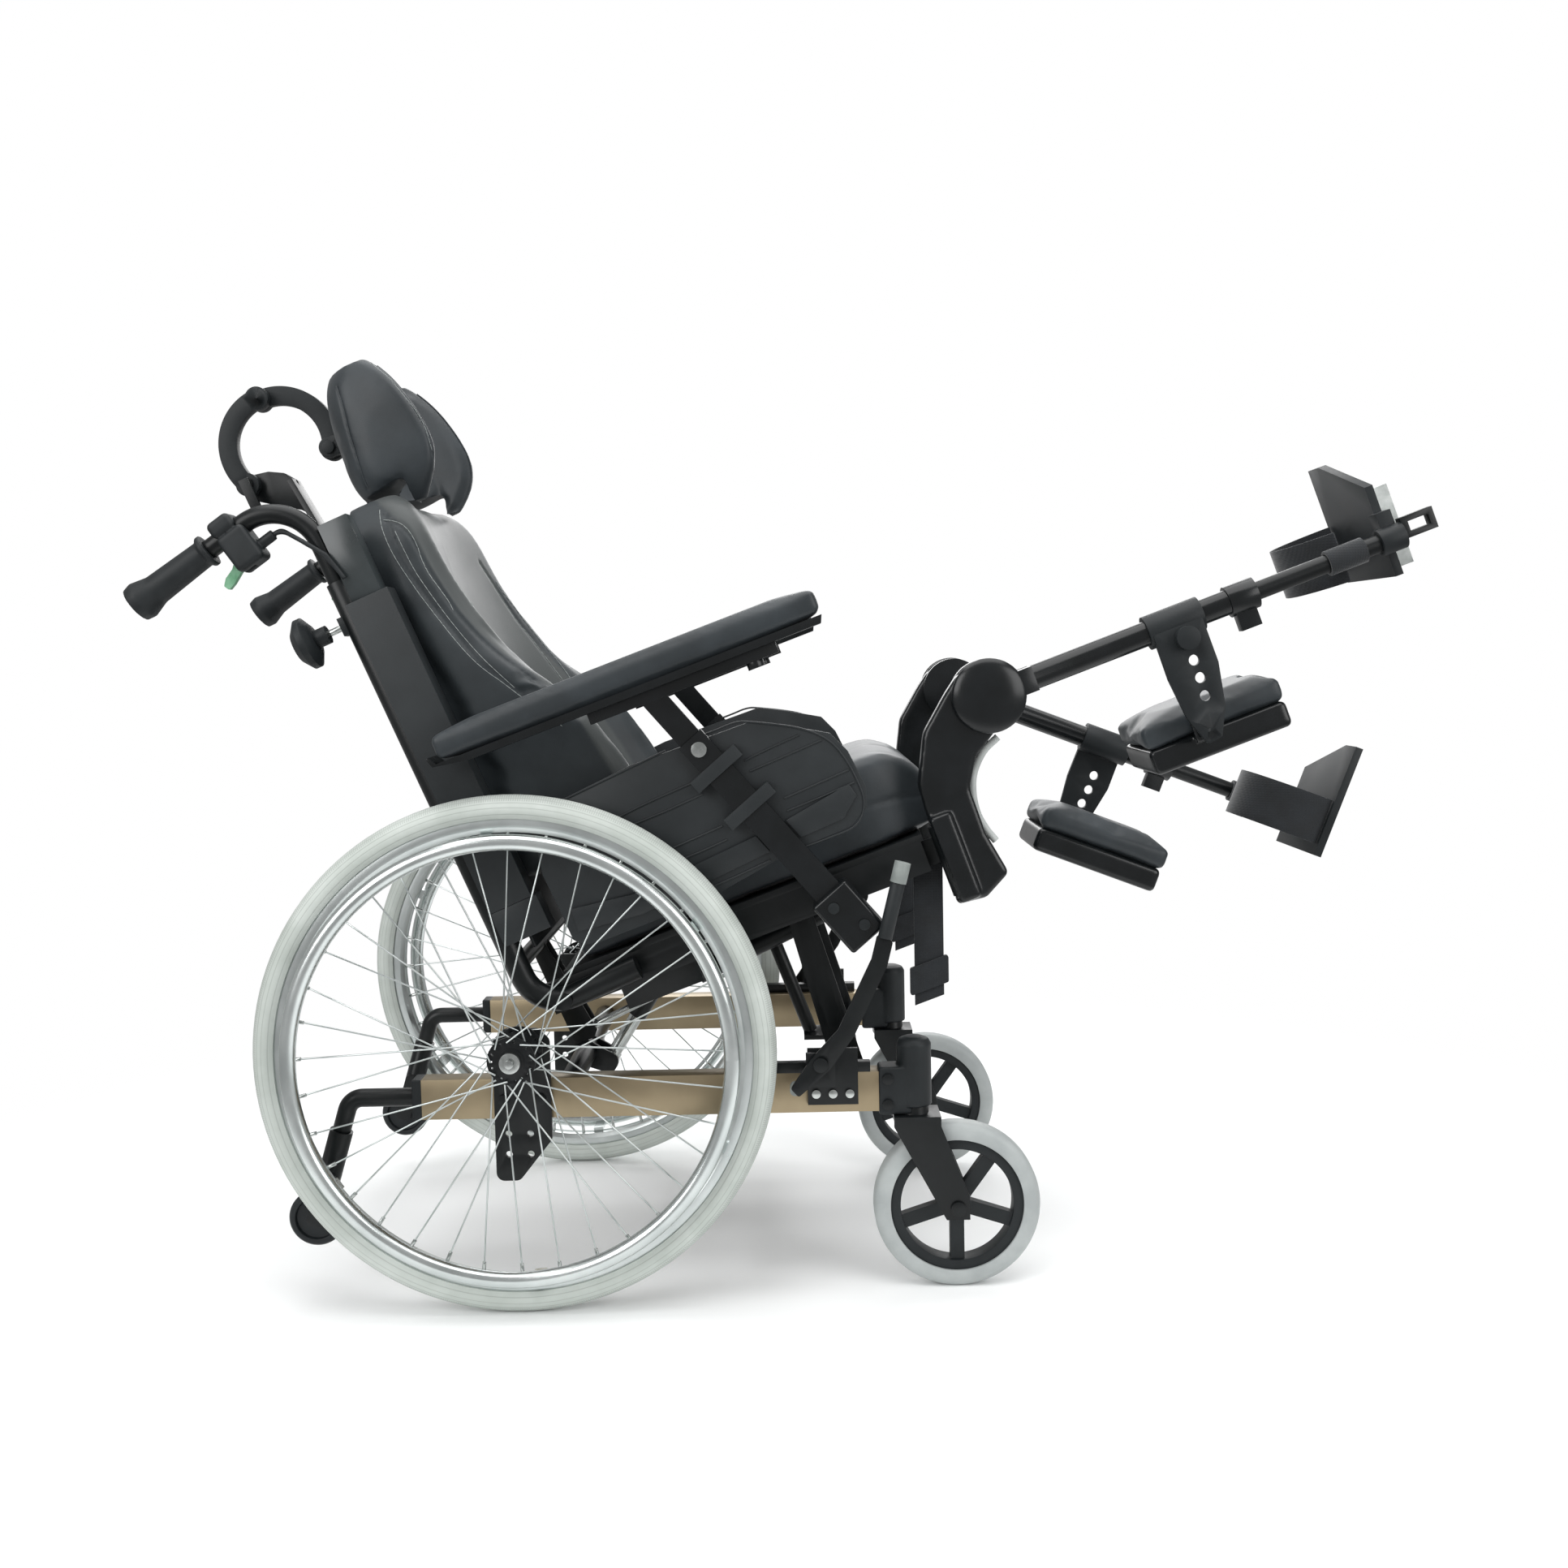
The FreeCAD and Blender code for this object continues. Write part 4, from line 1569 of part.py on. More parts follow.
def make_leg_tube():
    y, thick = -S.leg_y, S.hanger_thickness / 2 + S.face_gap
    cover = S.knee_half - thick
    pieces = []
    for start in (y - S.knee_half, y + thick):
        pieces.append(rod("knee_cover", S.knee_radius, (0, start, 0), "Y", cover))
        pieces.append(box("knee_neck", (0, 58), (start, start + cover), (-15, 15)))
    tube_start = S.knee_radius - 3
    outside = rod("leg_tube_outside", S.leg_tube, (tube_start, y, 0), "X", S.leg_tube_end - tube_start)
    collar = rod("leg_collar", S.collar_radius, (S.collar_start, y, 0), "X", S.collar_length)
    handle = box("leg_collar_lever", (S.collar_start + 4, S.collar_start + S.collar_length - 6),
                 (y - 8, y + 8), (-S.collar_drop, 0))
    bore = rod("leg_bore", S.leg_bore, (tube_start + 20, y, 0), "X",
               S.collar_start + S.collar_length - tube_start - 20)
    pin = rod("knee_pin", S.knee_pin, (0, y - S.knee_half, 0), "Y", 2 * S.knee_half)
    block = fuse("leg_tube_block", pieces + [outside, collar, handle, pin])
    return [cut("leg_tube_piece", block, [bore])]


def make_leg_extension():
    start = S.leg_tube_end - S.leg_rod_in
    return [rod("leg_rod", S.leg_rod, (start, -S.leg_y, 0), "X", S.leg_rod_end - start)]


def make_calf_bracket():
    y = -S.leg_y
    sleeve = rod("calf_sleeve", S.calf_clamp, (S.calf_start, y, 0), "X", S.calf_length)
    bore = rod("calf_bore", S.leg_tube + S.running_gap, (S.calf_start, y, 0), "X", S.calf_length)
    outline = [(205, -4), (266, -4), (266, -60), (256, -112), (240, -145), (222, -147), (209, -110),
               (204, -60)]
    middle = y - S.calf_clamp + S.calf_plate / 2
    arm = plate("calf_arm", "XZ", outline, S.calf_plate, (0, middle, 0), corner=3,
                holes=[(240, -48, 6.5), (240, -70, 6.5), (238, -92, 6.5)])
    block = fuse("calf_bracket_block", [sleeve, arm])
    at = (S.calf_pin_x, middle - S.calf_plate / 2, S.calf_pin_z)
    hole = rod("calf_pin_hole", S.calf_pin, at, "Y", S.calf_plate)
    out = S.leg_y + S.calf_clamp
    pin = rod("calf_pin", S.calf_pin, at, "Y", out - S.calf_pad_out + 8)
    knob = rod("calf_knob", 14, (240, -out - 14, -20), "Y", 14)
    return [cut("calf_bracket", block, [bore, hole]), pin, knob]


def make_calf_pad():
    start, end, top, low = S.calf_pad_x, S.calf_pad_end, S.calf_pad_top, S.calf_pad_low
    y = (-S.calf_pad_out, -S.calf_pad_in)
    middle = (top + low) / 2
    cushion = rounded_box("calf_cushion", (start, end), y, (middle, top), 9)
    tray = rounded_box("calf_tray", (start + 4, end - 4), (y[0] + 3, y[1] - 3), (low, middle), 6)
    lug = box("calf_lug", (S.calf_pin_x - 13, S.calf_pin_x + 13), (y[0] - 6, y[0]),
              (S.calf_pin_z - 13, S.calf_pin_z + 15))
    hole = rod("calf_lug_hole", S.calf_pin + S.running_gap,
               (S.calf_pin_x, y[0] - 6, S.calf_pin_z), "Y", 14.3)
    hole_tray = rod("calf_tray_hole", S.calf_pin + S.running_gap,
                    (S.calf_pin_x, y[0] - 6, S.calf_pin_z), "Y", 14.3)
    hole_cushion = rod("calf_cushion_hole", S.calf_pin + S.running_gap,
                       (S.calf_pin_x, y[0] - 6, S.calf_pin_z), "Y", 14.3)
    return [cut("calf_cushion_cut", cushion, [hole_cushion]), cut("calf_tray_cut", tray, [hole_tray]),
            cut("calf_lug_cut", lug, [hole])]


def make_footplate():
    """The footplate with its adjuster and loop, turning on the end of the leg rod."""
    y, x, thick = -S.leg_y, S.foot_x, S.foot_thickness
    sleeve = rod("foot_sleeve", S.leg_rod + 5, (x - 16, y, 0), "X", thick + 20)
    arm = box("foot_arm", (x - 8, x + thick), (y, -S.foot_out), (-16, 34))
    bore = rod("foot_bore", S.leg_rod + S.slide_gap, (x - 16, y, 0), "X",
               S.leg_rod_end + S.face_gap - x + 16)
    outline = [(-S.foot_out, S.foot_low), (-S.foot_in, S.foot_low), (-S.foot_in, S.foot_high),
               (-S.foot_in - 40, S.foot_high), (-S.foot_out, 67)]
    sole = plate("foot_sole", "YZ", outline, thick, (x + thick / 2, 0, 0))
    cast = box("foot_adjuster", (x + thick, x + thick + 22), (-S.foot_out + 16, -S.foot_out + 76),
               (-38, 62))
    slot = box("foot_adjuster_slot", (x + thick, x + thick + 22), (-S.foot_out + 36, -S.foot_out + 56),
               (-22, 46))
    loop = box("foot_loop", (x + thick + 4, x + thick + S.loop_length), (y - 7, y + 7),
               (7 - S.loop_width / 2, 7 + S.loop_width / 2))
    loop_room = box("foot_loop_room", (x + thick + 12, x + thick + S.loop_length - 7), (y - 7, y + 7),
                    (14 - S.loop_width / 2, S.loop_width / 2))
    block = fuse("foot_block", [sleeve, arm, sole])
    return [cut("foot_piece", block, [bore]), cut("foot_cast", cast, [slot]),
            cut("foot_loop_piece", loop, [loop_room])]


def make_heel_strap():
    """A wide fabric sling from the leg rod, behind the heel, to the footplate's inner edge."""
    y, thick = -float(S.leg_y), float(S.foot_strap_thickness)
    radius = float(S.leg_rod) + 0.3
    band = tube("strap_band", radius + 4, radius, (S.band_start, y, 0), "X", S.band_length)
    inner_y, sole_x = -float(S.foot_in), float(S.foot_x)
    route = [(float(S.band_start) + 24, y + radius + 4), (422, -150), (408, -100), (420, -50),
             (470, inner_y - 6), (sole_x - 2.5, inner_y - 6)]
    edges = []
    curve = Part.BSplineCurve()
    curve.interpolate([Vector(a, b, 0) for a, b in route])
    outer = curve.toShape()
    other = Part.BSplineCurve()
    other.interpolate([Vector(a + thick * 0.8, b + thick * 0.6 * (1 if b < -100 else -1), 0)
                       for a, b in route])
    inner = other.toShape()
    edges = [outer, Part.LineSegment(outer.lastVertex().Point, inner.lastVertex().Point).toShape(),
             inner, Part.LineSegment(inner.firstVertex().Point, outer.firstVertex().Point).toShape()]
    face = Part.Face(Part.Wire(Part.__sortEdges__(edges)))
    sling = doc.addObject("Part::Feature", "strap_sling")
    sling.Shape = face.extrude(Vector(0, 0, float(S.foot_strap)))
    sling.Placement = Placement(Vector(0, 0, -float(S.foot_strap) / 2), Rotation())
    return [band, sling]


pair("leg_hanger", make_hanger(), SEAT)
pair("leg_tube", make_leg_tube(), RIGHT_LEG, LEFT_LEG)
pair("leg_extension", make_leg_extension(), RIGHT_LEG, LEFT_LEG)
pair("calf_bracket", make_calf_bracket(), RIGHT_LEG, LEFT_LEG)
pair("calf_pad", make_calf_pad(), RIGHT_LEG, LEFT_LEG)
pair("footplate", make_footplate(), RIGHT_LEG, LEFT_LEG)
pair("heel_strap", make_heel_strap(), RIGHT_LEG, LEFT_LEG)


# Build, check and write out

def check_and_export():
    doc.recompute()
    for item in doc.Objects:
        if "Invalid" in item.State or "Error" in item.State:
            raise RuntimeError(f"{item.Label} could not be built: {item.State}")
    os.makedirs("parts", exist_ok=True)
    for item in NODES:
        shape = item.Shape
        if shape.isNull() or not shape.isValid() or not shape.Solids:
            raise RuntimeError(f"{item.Label} has no valid solid")
    for item in NODES:
        item.Shape.exportStep(f"parts/{item.Label}.step")
    print(f"{len(NODES)} sub-parts written")


check_and_export()
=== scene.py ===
"""Tilt in space wheelchair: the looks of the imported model, as a Blender add-on run as a script.

Metres in the scene. Sizes in the sewing and trim tables are millimetres in the frame that
their part of the chair leans with. +X is forward, +Y is the user's left, +Z is up.
"""
import json
import math

import bmesh
import bpy
from bpy.props import FloatProperty, FloatVectorProperty, PointerProperty
from mathutils import Matrix, Vector
from mathutils.bvhtree import BVHTree
from mathutils.kdtree import KDTree


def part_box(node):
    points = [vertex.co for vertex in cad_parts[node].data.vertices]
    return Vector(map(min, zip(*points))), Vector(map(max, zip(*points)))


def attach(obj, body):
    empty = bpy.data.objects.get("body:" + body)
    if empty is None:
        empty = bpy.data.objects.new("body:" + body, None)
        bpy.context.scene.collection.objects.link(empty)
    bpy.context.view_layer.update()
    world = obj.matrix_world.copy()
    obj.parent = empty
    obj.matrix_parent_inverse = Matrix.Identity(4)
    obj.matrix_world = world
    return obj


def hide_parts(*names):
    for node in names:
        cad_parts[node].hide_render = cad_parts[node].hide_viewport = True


bl_info = {
    "name": "Tilt in Space Wheelchair Dress",
    "version": (1, 0, 0),
    "blender": (4, 5, 0),
    "location": "3D View > Sidebar > Wheelchair",
    "description": "Dresses the packed wheelchair with leatherette, webbing, metal and rubber",
    "category": "Object",
}

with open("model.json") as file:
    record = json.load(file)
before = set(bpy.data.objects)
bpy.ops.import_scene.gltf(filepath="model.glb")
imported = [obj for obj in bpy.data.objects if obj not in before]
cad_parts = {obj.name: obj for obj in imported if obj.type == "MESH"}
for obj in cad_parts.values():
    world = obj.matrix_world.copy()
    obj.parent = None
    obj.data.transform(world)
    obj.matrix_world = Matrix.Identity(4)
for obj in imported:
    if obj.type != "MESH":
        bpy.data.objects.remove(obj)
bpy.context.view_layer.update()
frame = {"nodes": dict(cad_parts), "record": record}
SIDES = {"right": -1, "left": 1}

# Frames of the chair's leaning parts

ORIGIN_AHEAD = 325.6
KNEE = (772, 474.5)
HANDLE_LEAN = 12.2
HANDLE_REACH = 124.8


def leaning(parent, x, z, lean):
    """A frame at a point of its parent, leaning so many degrees towards +X."""
    return parent @ Matrix.Translation((x, 0, z)) @ Matrix.Rotation(math.radians(lean), 4, "Y")


FLOOR = Matrix.Translation((-ORIGIN_AHEAD, 0, 0))
SEAT = leaning(FLOOR, 0, 0, -20)
BACK = leaning(SEAT, 171.4, 318, -3)
ARM = leaning(SEAT, 512, 331, -20.7)
LEGS = {"right": leaning(SEAT, *KNEE, 0), "left": leaning(SEAT, *KNEE, 41.2)}
HANDLE = leaning(BACK, -36 - HANDLE_REACH * math.cos(math.radians(HANDLE_LEAN)),
                 683 - HANDLE_REACH * math.sin(math.radians(HANDLE_LEAN)), -HANDLE_LEAN)
WHEEL_CENTRE = (-ORIGIN_AHEAD / 1000, 0, 0.305)


def at(place, x, y, z):
    """A point of a leaning frame, in metres in the row frame."""
    return place @ Vector((x, y, z)) / 1000


# Materials

def linear(hex_value):
    """An sRGB hex colour as linear red, green, blue and alpha."""
    channels = []
    for index in (1, 3, 5):
        value = int(hex_value[index:index + 2], 16) / 255
        channels.append(value / 12.92 if value <= 0.04045 else ((value + 0.055) / 1.055) ** 2.4)
    return tuple(channels) + (1.0,)


def add(tree, kind, settings=None, links=None):
    """A node with its settings and its links."""
    item = tree.nodes.new(kind)
    for key, value in (settings or {}).items():
        if isinstance(key, str) and hasattr(item, key):
            setattr(item, key, value)
        else:
            item.inputs[key].default_value = value
    for key, source in (links or {}).items():
        tree.links.new(source[0].outputs[source[1]], item.inputs[key])
    return item


def maths(tree, operation, *terms):
    """A maths node's output. A term is a number, or a node and one of its outputs."""
    item = add(tree, "ShaderNodeMath", {"operation": operation})
    for index, term in enumerate(terms):
        if isinstance(term, tuple):
            tree.links.new(term[0].outputs[term[1]], item.inputs[index])
        else:
            item.inputs[index].default_value = term
    return item, 0


GRAIN_HEIGHT = 0.0004


def finish(name, colours, metallic=0.0, roughness=0.5, grain=1.5, depth=0.05, wear=40.0,
           stretch=(1, 1, 1), roughness_spread=0.08, sheen=0.0, cells=False, shine=0.5):
    """A surface with two close tones, patchy roughness and a fine grain sized in millimetres."""
    material = bpy.data.materials.new(name)
    material.use_nodes = True
    tree = material.node_tree
    tree.nodes.clear()
    place = add(tree, "ShaderNodeTexCoord")
    scaled = add(tree, "ShaderNodeMapping", {"Scale": stretch}, {"Vector": (place, "Object")})
    broad = add(tree, "ShaderNodeTexNoise", {"Scale": 1000 / wear, "Detail": 4.0, "Roughness": 0.55},
                {"Vector": (place, "Object")})
    tone = add(tree, "ShaderNodeValToRGB", {}, {"Fac": (broad, "Fac")})
    for stop, share, colour in zip(tone.color_ramp.elements, (0.35, 0.68), colours):
        stop.position = share
        stop.color = linear(colour)
    dull = add(tree, "ShaderNodeMapRange", {"To Min": max(roughness - roughness_spread, 0.02),
                                            "To Max": min(roughness + roughness_spread, 1.0)},
               {"Value": (broad, "Fac")})
    if cells:
        pattern = add(tree, "ShaderNodeTexVoronoi", {"Scale": 1000 / grain, "feature": "DISTANCE_TO_EDGE"},
                      {"Vector": (scaled, "Vector")})
        height = (pattern, "Distance")
    else:
        pattern = add(tree, "ShaderNodeTexNoise", {"Scale": 1000 / grain, "Detail": 3.0},
                      {"Vector": (scaled, "Vector")})
        height = (pattern, "Fac")
    bump = add(tree, "ShaderNodeBump", {"Strength": depth, "Distance": GRAIN_HEIGHT}, {"Height": height})
    shader = add(tree, "ShaderNodeBsdfPrincipled",
                 {"Metallic": metallic, "IOR": 1.5, "Specular IOR Level": shine,
                  "Sheen Weight": sheen, "Sheen Roughness": 0.4},
                 {"Base Color": (tone, "Color"), "Roughness": (dull, "Result"), "Normal": (bump, "Normal")})
    add(tree, "ShaderNodeOutputMaterial", {}, {"Surface": (shader, "BSDF")})
    return material


def node_of(material, kind):
    return next(item for item in material.node_tree.nodes if item.bl_idname == kind)


def leatherette(name, colours, centre=None):
    """Coated fabric, embossed with a fine pebble: a soft broad gloss. The scooped middle of
    the back is a paler, warmer piece, told apart by an attribute of the mesh."""
    material = finish(name, colours, roughness=0.46, grain=1.6, depth=0.22, wear=70, cells=True,
                      roughness_spread=0.07, sheen=0.05, shine=0.4)
    if centre:
        tree = material.node_tree
        middle = add(tree, "ShaderNodeAttribute", {"attribute_name": "middle"})
        pale = add(tree, "ShaderNodeMix", {"data_type": "RGBA"}, {"Factor": (middle, "Fac")})
        tree.links.new(node_of(material, "ShaderNodeValToRGB").outputs["Color"], pale.inputs[6])
        pale.inputs[7].default_value = linear(centre)
        tree.links.new(pale.outputs[2], node_of(material, "ShaderNodeBsdfPrincipled").inputs["Base Color"])
    return material


def woven(name, colours, thread=1.6):
    """Polyester webbing: crossing threads, drawn coarse enough to show."""
    material = finish(name, colours, roughness=0.82, grain=3, depth=0.3, wear=30, sheen=0.3)
    tree = material.node_tree
    place = node_of(material, "ShaderNodeTexCoord")
    waves = []
    for axis in ("X", "Z"):
        waves.append(add(tree, "ShaderNodeTexWave",
                         {"wave_type": "BANDS", "bands_direction": axis,
                          "Scale": 1000 / thread / 6.28, "Distortion": 0.4},
                         {"Vector": (place, "Object")}))
    both = maths(tree, "MULTIPLY", (waves[0], "Fac"), (waves[1], "Fac"))
    bump = node_of(material, "ShaderNodeBump")
    tree.links.new(both[0].outputs[0], bump.inputs["Height"])
    bump.inputs["Strength"].default_value = 0.6
    return material


def wheel_rubber(name, colours, rings, rib_count, rib_start):
    """Moulded rubber turned about the rear axle: rings round the sidewall, each with its radius
    and half width in millimetres, and short ribs across the shoulder past a radius."""
    material = finish(name, colours, roughness=0.62, grain=1.2, depth=0.08, wear=55)
    tree = material.node_tree
    place = node_of(material, "ShaderNodeTexCoord")
    moved = add(tree, "ShaderNodeVectorMath", {"operation": "SUBTRACT", 1: WHEEL_CENTRE},
                {0: (place, "Object")})
    flat = add(tree, "ShaderNodeVectorMath", {"operation": "MULTIPLY", 1: (1, 0, 1)}, {0: (moved, 0)})
    radius = (add(tree, "ShaderNodeVectorMath", {"operation": "LENGTH"}, {0: (flat, 0)}), "Value")
    parts = add(tree, "ShaderNodeSeparateXYZ", {}, {0: (moved, 0)})
    turns = maths(tree, "MULTIPLY", maths(tree, "ARCTAN2", (parts, "Z"), (parts, "X")), rib_count)
    rib = maths(tree, "GREATER_THAN", maths(tree, "SINE", turns), 0.1)
    total = maths(tree, "MULTIPLY", rib, maths(tree, "GREATER_THAN", radius, rib_start / 1000))
    for ring, width in rings:
        gap = maths(tree, "ABSOLUTE", maths(tree, "SUBTRACT", radius, ring / 1000))
        total = maths(tree, "MAXIMUM", total, maths(tree, "LESS_THAN", gap, width / 1000))
    over = add(tree, "ShaderNodeBump", {"Strength": 0.5, "Distance": 0.0008, "invert": True},
               {"Height": total, "Normal": (node_of(material, "ShaderNodeBump"), "Normal")})
    shader = node_of(material, "ShaderNodeBsdfPrincipled")
    tree.links.new(over.outputs["Normal"], shader.inputs["Normal"])
    tone = node_of(material, "ShaderNodeValToRGB")
    darker = add(tree, "ShaderNodeMix", {"data_type": "RGBA", "blend_type": "MULTIPLY"},
                 {6: (tone, "Color"), 0: total})
    darker.inputs[7].default_value = (0.8, 0.8, 0.8, 1)
    tree.links.new(darker.outputs[2], shader.inputs["Base Color"])
    return material


def make_finishes():
    """Every finish of the chair, by a maker's plain name."""
    return {
        "leather": leatherette("coated_fabric_dark", ("#24292c", "#2e3437"), "#3e4242"),
        "leather_plain": leatherette("coated_fabric_plain", ("#262b2e", "#30363a")),
        "webbing": woven("polyester_webbing", ("#14171a", "#1e2226")),
        "thread": finish("polyester_thread", ("#868c8b", "#9ea4a2"), roughness=0.7, grain=0.8, depth=0.1),
        "powder": finish("powder_coated_steel", ("#0b0e0f", "#131617"), roughness=0.34, grain=1.0,
                         depth=0.12, shine=0.3),
        "gloss": finish("gloss_moulded_abs", ("#0a0d0e", "#111416"), roughness=0.24, grain=2.5, depth=0.03,
                        shine=0.4),
        "matte": finish("textured_moulded_nylon", ("#15191b", "#1f2325"), roughness=0.5, grain=0.9,
                        depth=0.24, wear=60, shine=0.3),
        "panel": finish("textured_panel_sheet", ("#1b1f21", "#25292b"), roughness=0.46, grain=1.1,
                        depth=0.22, wear=90, shine=0.4),
        # The upper side covers' paler tones are a painted highlight of their lit side faces; their lower
        # roughness is the real satin gloss.
        "cover": finish("satin_moulded_cover_painted_highlight", ("#2b3031", "#383e40"), roughness=0.3, grain=1.4,
                        depth=0.08, wear=70, shine=0.55),
        "gold": finish("champagne_anodised_tube", ("#8f8168", "#a39479"), metallic=0.75, roughness=0.34,
                       grain=1.2, depth=0.05, wear=120, stretch=(0.06, 1, 1)),
        "alloy": finish("satin_anodised_aluminium", ("#bcc2c1", "#d3d8d7"), metallic=1.0, roughness=0.3,
                        grain=1.4, depth=0.05, wear=80),
        "handrim": finish("bright_anodised_aluminium", ("#c3c9c8", "#dbe0df"), metallic=1.0,
                          roughness=0.24, grain=1.6, depth=0.03, wear=90),
        "steel": finish("bright_zinc_steel", ("#a9adab", "#c9ccca"), metallic=1.0, roughness=0.22,
                        grain=1.0, depth=0.05, wear=12),
        "green": finish("green_moulded_nylon", ("#4f8a63", "#79ab8a"), roughness=0.35, grain=1.2,
                        depth=0.08, wear=12),
        "grip": finish("soft_moulded_rubber", ("#15191b", "#202426"), roughness=0.55, grain=1.0,
                       depth=0.26, wear=40, shine=0.35),
        "tip": finish("grey_moulded_vinyl", ("#777d7b", "#8b918e"), roughness=0.5, grain=1.0, depth=0.12,
                      wear=20),
        "cast": finish("cast_aluminium", ("#9da19f", "#b8bcba"), metallic=0.9, roughness=0.42, grain=1.4,
                       depth=0.35, wear=15),
        "inner": finish("pale_moulded_liner", ("#a9aeac", "#bcc0be"), roughness=0.5, grain=1.2,
                        depth=0.1, wear=30),
        "tyre": wheel_rubber("pale_tyre_rubber", ("#b7beb8", "#c7cdc8"),
                             [(283.5, 0.5), (291, 0.4), (296.5, 0.5), (301.5, 0.45)], 720, 298.5),
        "caster": finish("grey_caster_rubber", ("#9a9f9f", "#acb1b0"), roughness=0.5, grain=1.1,
                         depth=0.08, wear=45),
    }


FINISHES = {}


def context_finishes():
    if not FINISHES:
        FINISHES.update(make_finishes())
    return FINISHES


# Shaping

def only(piece):
    """Makes one object the selected and active one."""
    bpy.ops.object.select_all(action="DESELECT")
    piece.select_set(True)
    bpy.context.view_layer.objects.active = piece


def copy_of(node, name):
    """A merged copy of a CAD node's mesh in an object of its own."""
    source = frame["nodes"][node]
    mesh = source.data.copy()
    mesh.materials.clear()
    piece = bpy.data.objects.new(name, mesh)
    bpy.context.scene.collection.objects.link(piece)
    sheet = bmesh.new()
    sheet.from_mesh(mesh)
    bmesh.ops.remove_doubles(sheet, verts=sheet.verts, dist=0.00001)
    sheet.to_mesh(mesh)
    sheet.free()
    for item in list(mesh.attributes):
        if item.name in ("custom_normal", "sharp_face", "sharp_edge"):
            mesh.attributes.remove(item)
    return piece


def islands(piece):
    """The separate solids of a mesh, as lists of face numbers with their boxes."""
    sheet = bmesh.new()
    sheet.from_mesh(piece.data)
    sheet.faces.ensure_lookup_table()
    seen = set()
    found = []
    for face in sheet.faces:
        if face.index in seen:
            continue
        stack, group = [face], []
        seen.add(face.index)
        while stack:
            current = stack.pop()
            group.append(current.index)
            for edge in current.edges:
                for other in edge.link_faces:
                    if other.index not in seen:
                        seen.add(other.index)
                        stack.append(other)
        points = [v.co for index in group for v in sheet.faces[index].verts]
        low = Vector([min(p[k] for p in points) for k in range(3)])
        high = Vector([max(p[k] for p in points) for k in range(3)])
        found.append((group, low, high))
    sheet.free()
    return found


def keep_faces(piece, wanted):
    """Leaves only the listed faces of a mesh."""
    sheet = bmesh.new()
    sheet.from_mesh(piece.data)
    sheet.faces.ensure_lookup_table()
    spare = [face for face in sheet.faces if face.index not in wanted]
    bmesh.ops.delete(sheet, geom=spare, context="FACES")
    sheet.to_mesh(piece.data)
    sheet.free()


def split(node, name, rest_name, choose):
    """A node's solids as two pieces: the ones chosen from the list of them, and the rest."""
    whole = copy_of(node, name)
    groups = islands(whole)
    chosen = choose(groups)
    rest = None
    if len(chosen) < len(groups):
        rest = whole.copy()
        rest.data = whole.data.copy()
        rest.name = rest_name
        bpy.context.scene.collection.objects.link(rest)
        keep_faces(rest, {index for item in groups if item not in chosen for index in item[0]})
    keep_faces(whole, {index for item in chosen for index in item[0]})
    return whole, rest


def most(measure):
    """Chooses the one solid with the most of something that its box tells."""
    return lambda groups: [max(groups, key=lambda item: measure(item[1], item[2]))]


def apply_all(piece):
    only(piece)
    for modifier in list(piece.modifiers):
        bpy.ops.object.modifier_apply(modifier=modifier.name)


def soften(piece, width=0.0008, angle=35):
    """Takes the sharpness off moulded and machined edges."""
    bevel = piece.modifiers.new("edge", "BEVEL")
    bevel.width = width
    bevel.segments = 2
    bevel.limit_method = "ANGLE"
    bevel.angle_limit = math.radians(angle)
    bevel.use_clamp_overlap = True
    apply_all(piece)
    only(piece)
    bpy.ops.object.shade_smooth_by_angle(angle=math.radians(34))


def mould(piece, voxel=0.0022, passes=6):
    """Rounds a block into a moulding: fine even faces, evened out, then thinned again. It grows
    a little first, by as much as the evening takes off."""
    piece.data.remesh_voxel_size = voxel
    only(piece)
    bpy.ops.object.voxel_remesh()
    growth = voxel * math.sqrt(passes) * 0.12
    normals = [vertex.normal.copy() for vertex in piece.data.vertices]
    for vertex, normal in zip(piece.data.vertices, normals):
        vertex.co += normal * growth
    even = piece.modifiers.new("even", "SMOOTH")
    even.factor = 0.5
    even.iterations = passes
    fewer = piece.modifiers.new("fewer", "DECIMATE")
    fewer.ratio = 0.35
    apply_all(piece)
    only(piece)
    bpy.ops.object.shade_smooth()


def stem_of(node):
    for end in ("_right", "_left"):
        if node.endswith(end):
            return node[:-len(end)]
    return node


def body_name(node):
    bodies = frame["record"]["behaviour"]["bodies"]
    return next(body for body, members in bodies.items() if node in members)


def settle(piece, body, replaced=()):
    """Hands a piece to its body and hides the CAD nodes it stands for."""
    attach(piece, body)
    if replaced:
        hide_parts(*replaced)


def give(piece, material):
    piece.data.materials.clear()
    piece.data.materials.append(material)


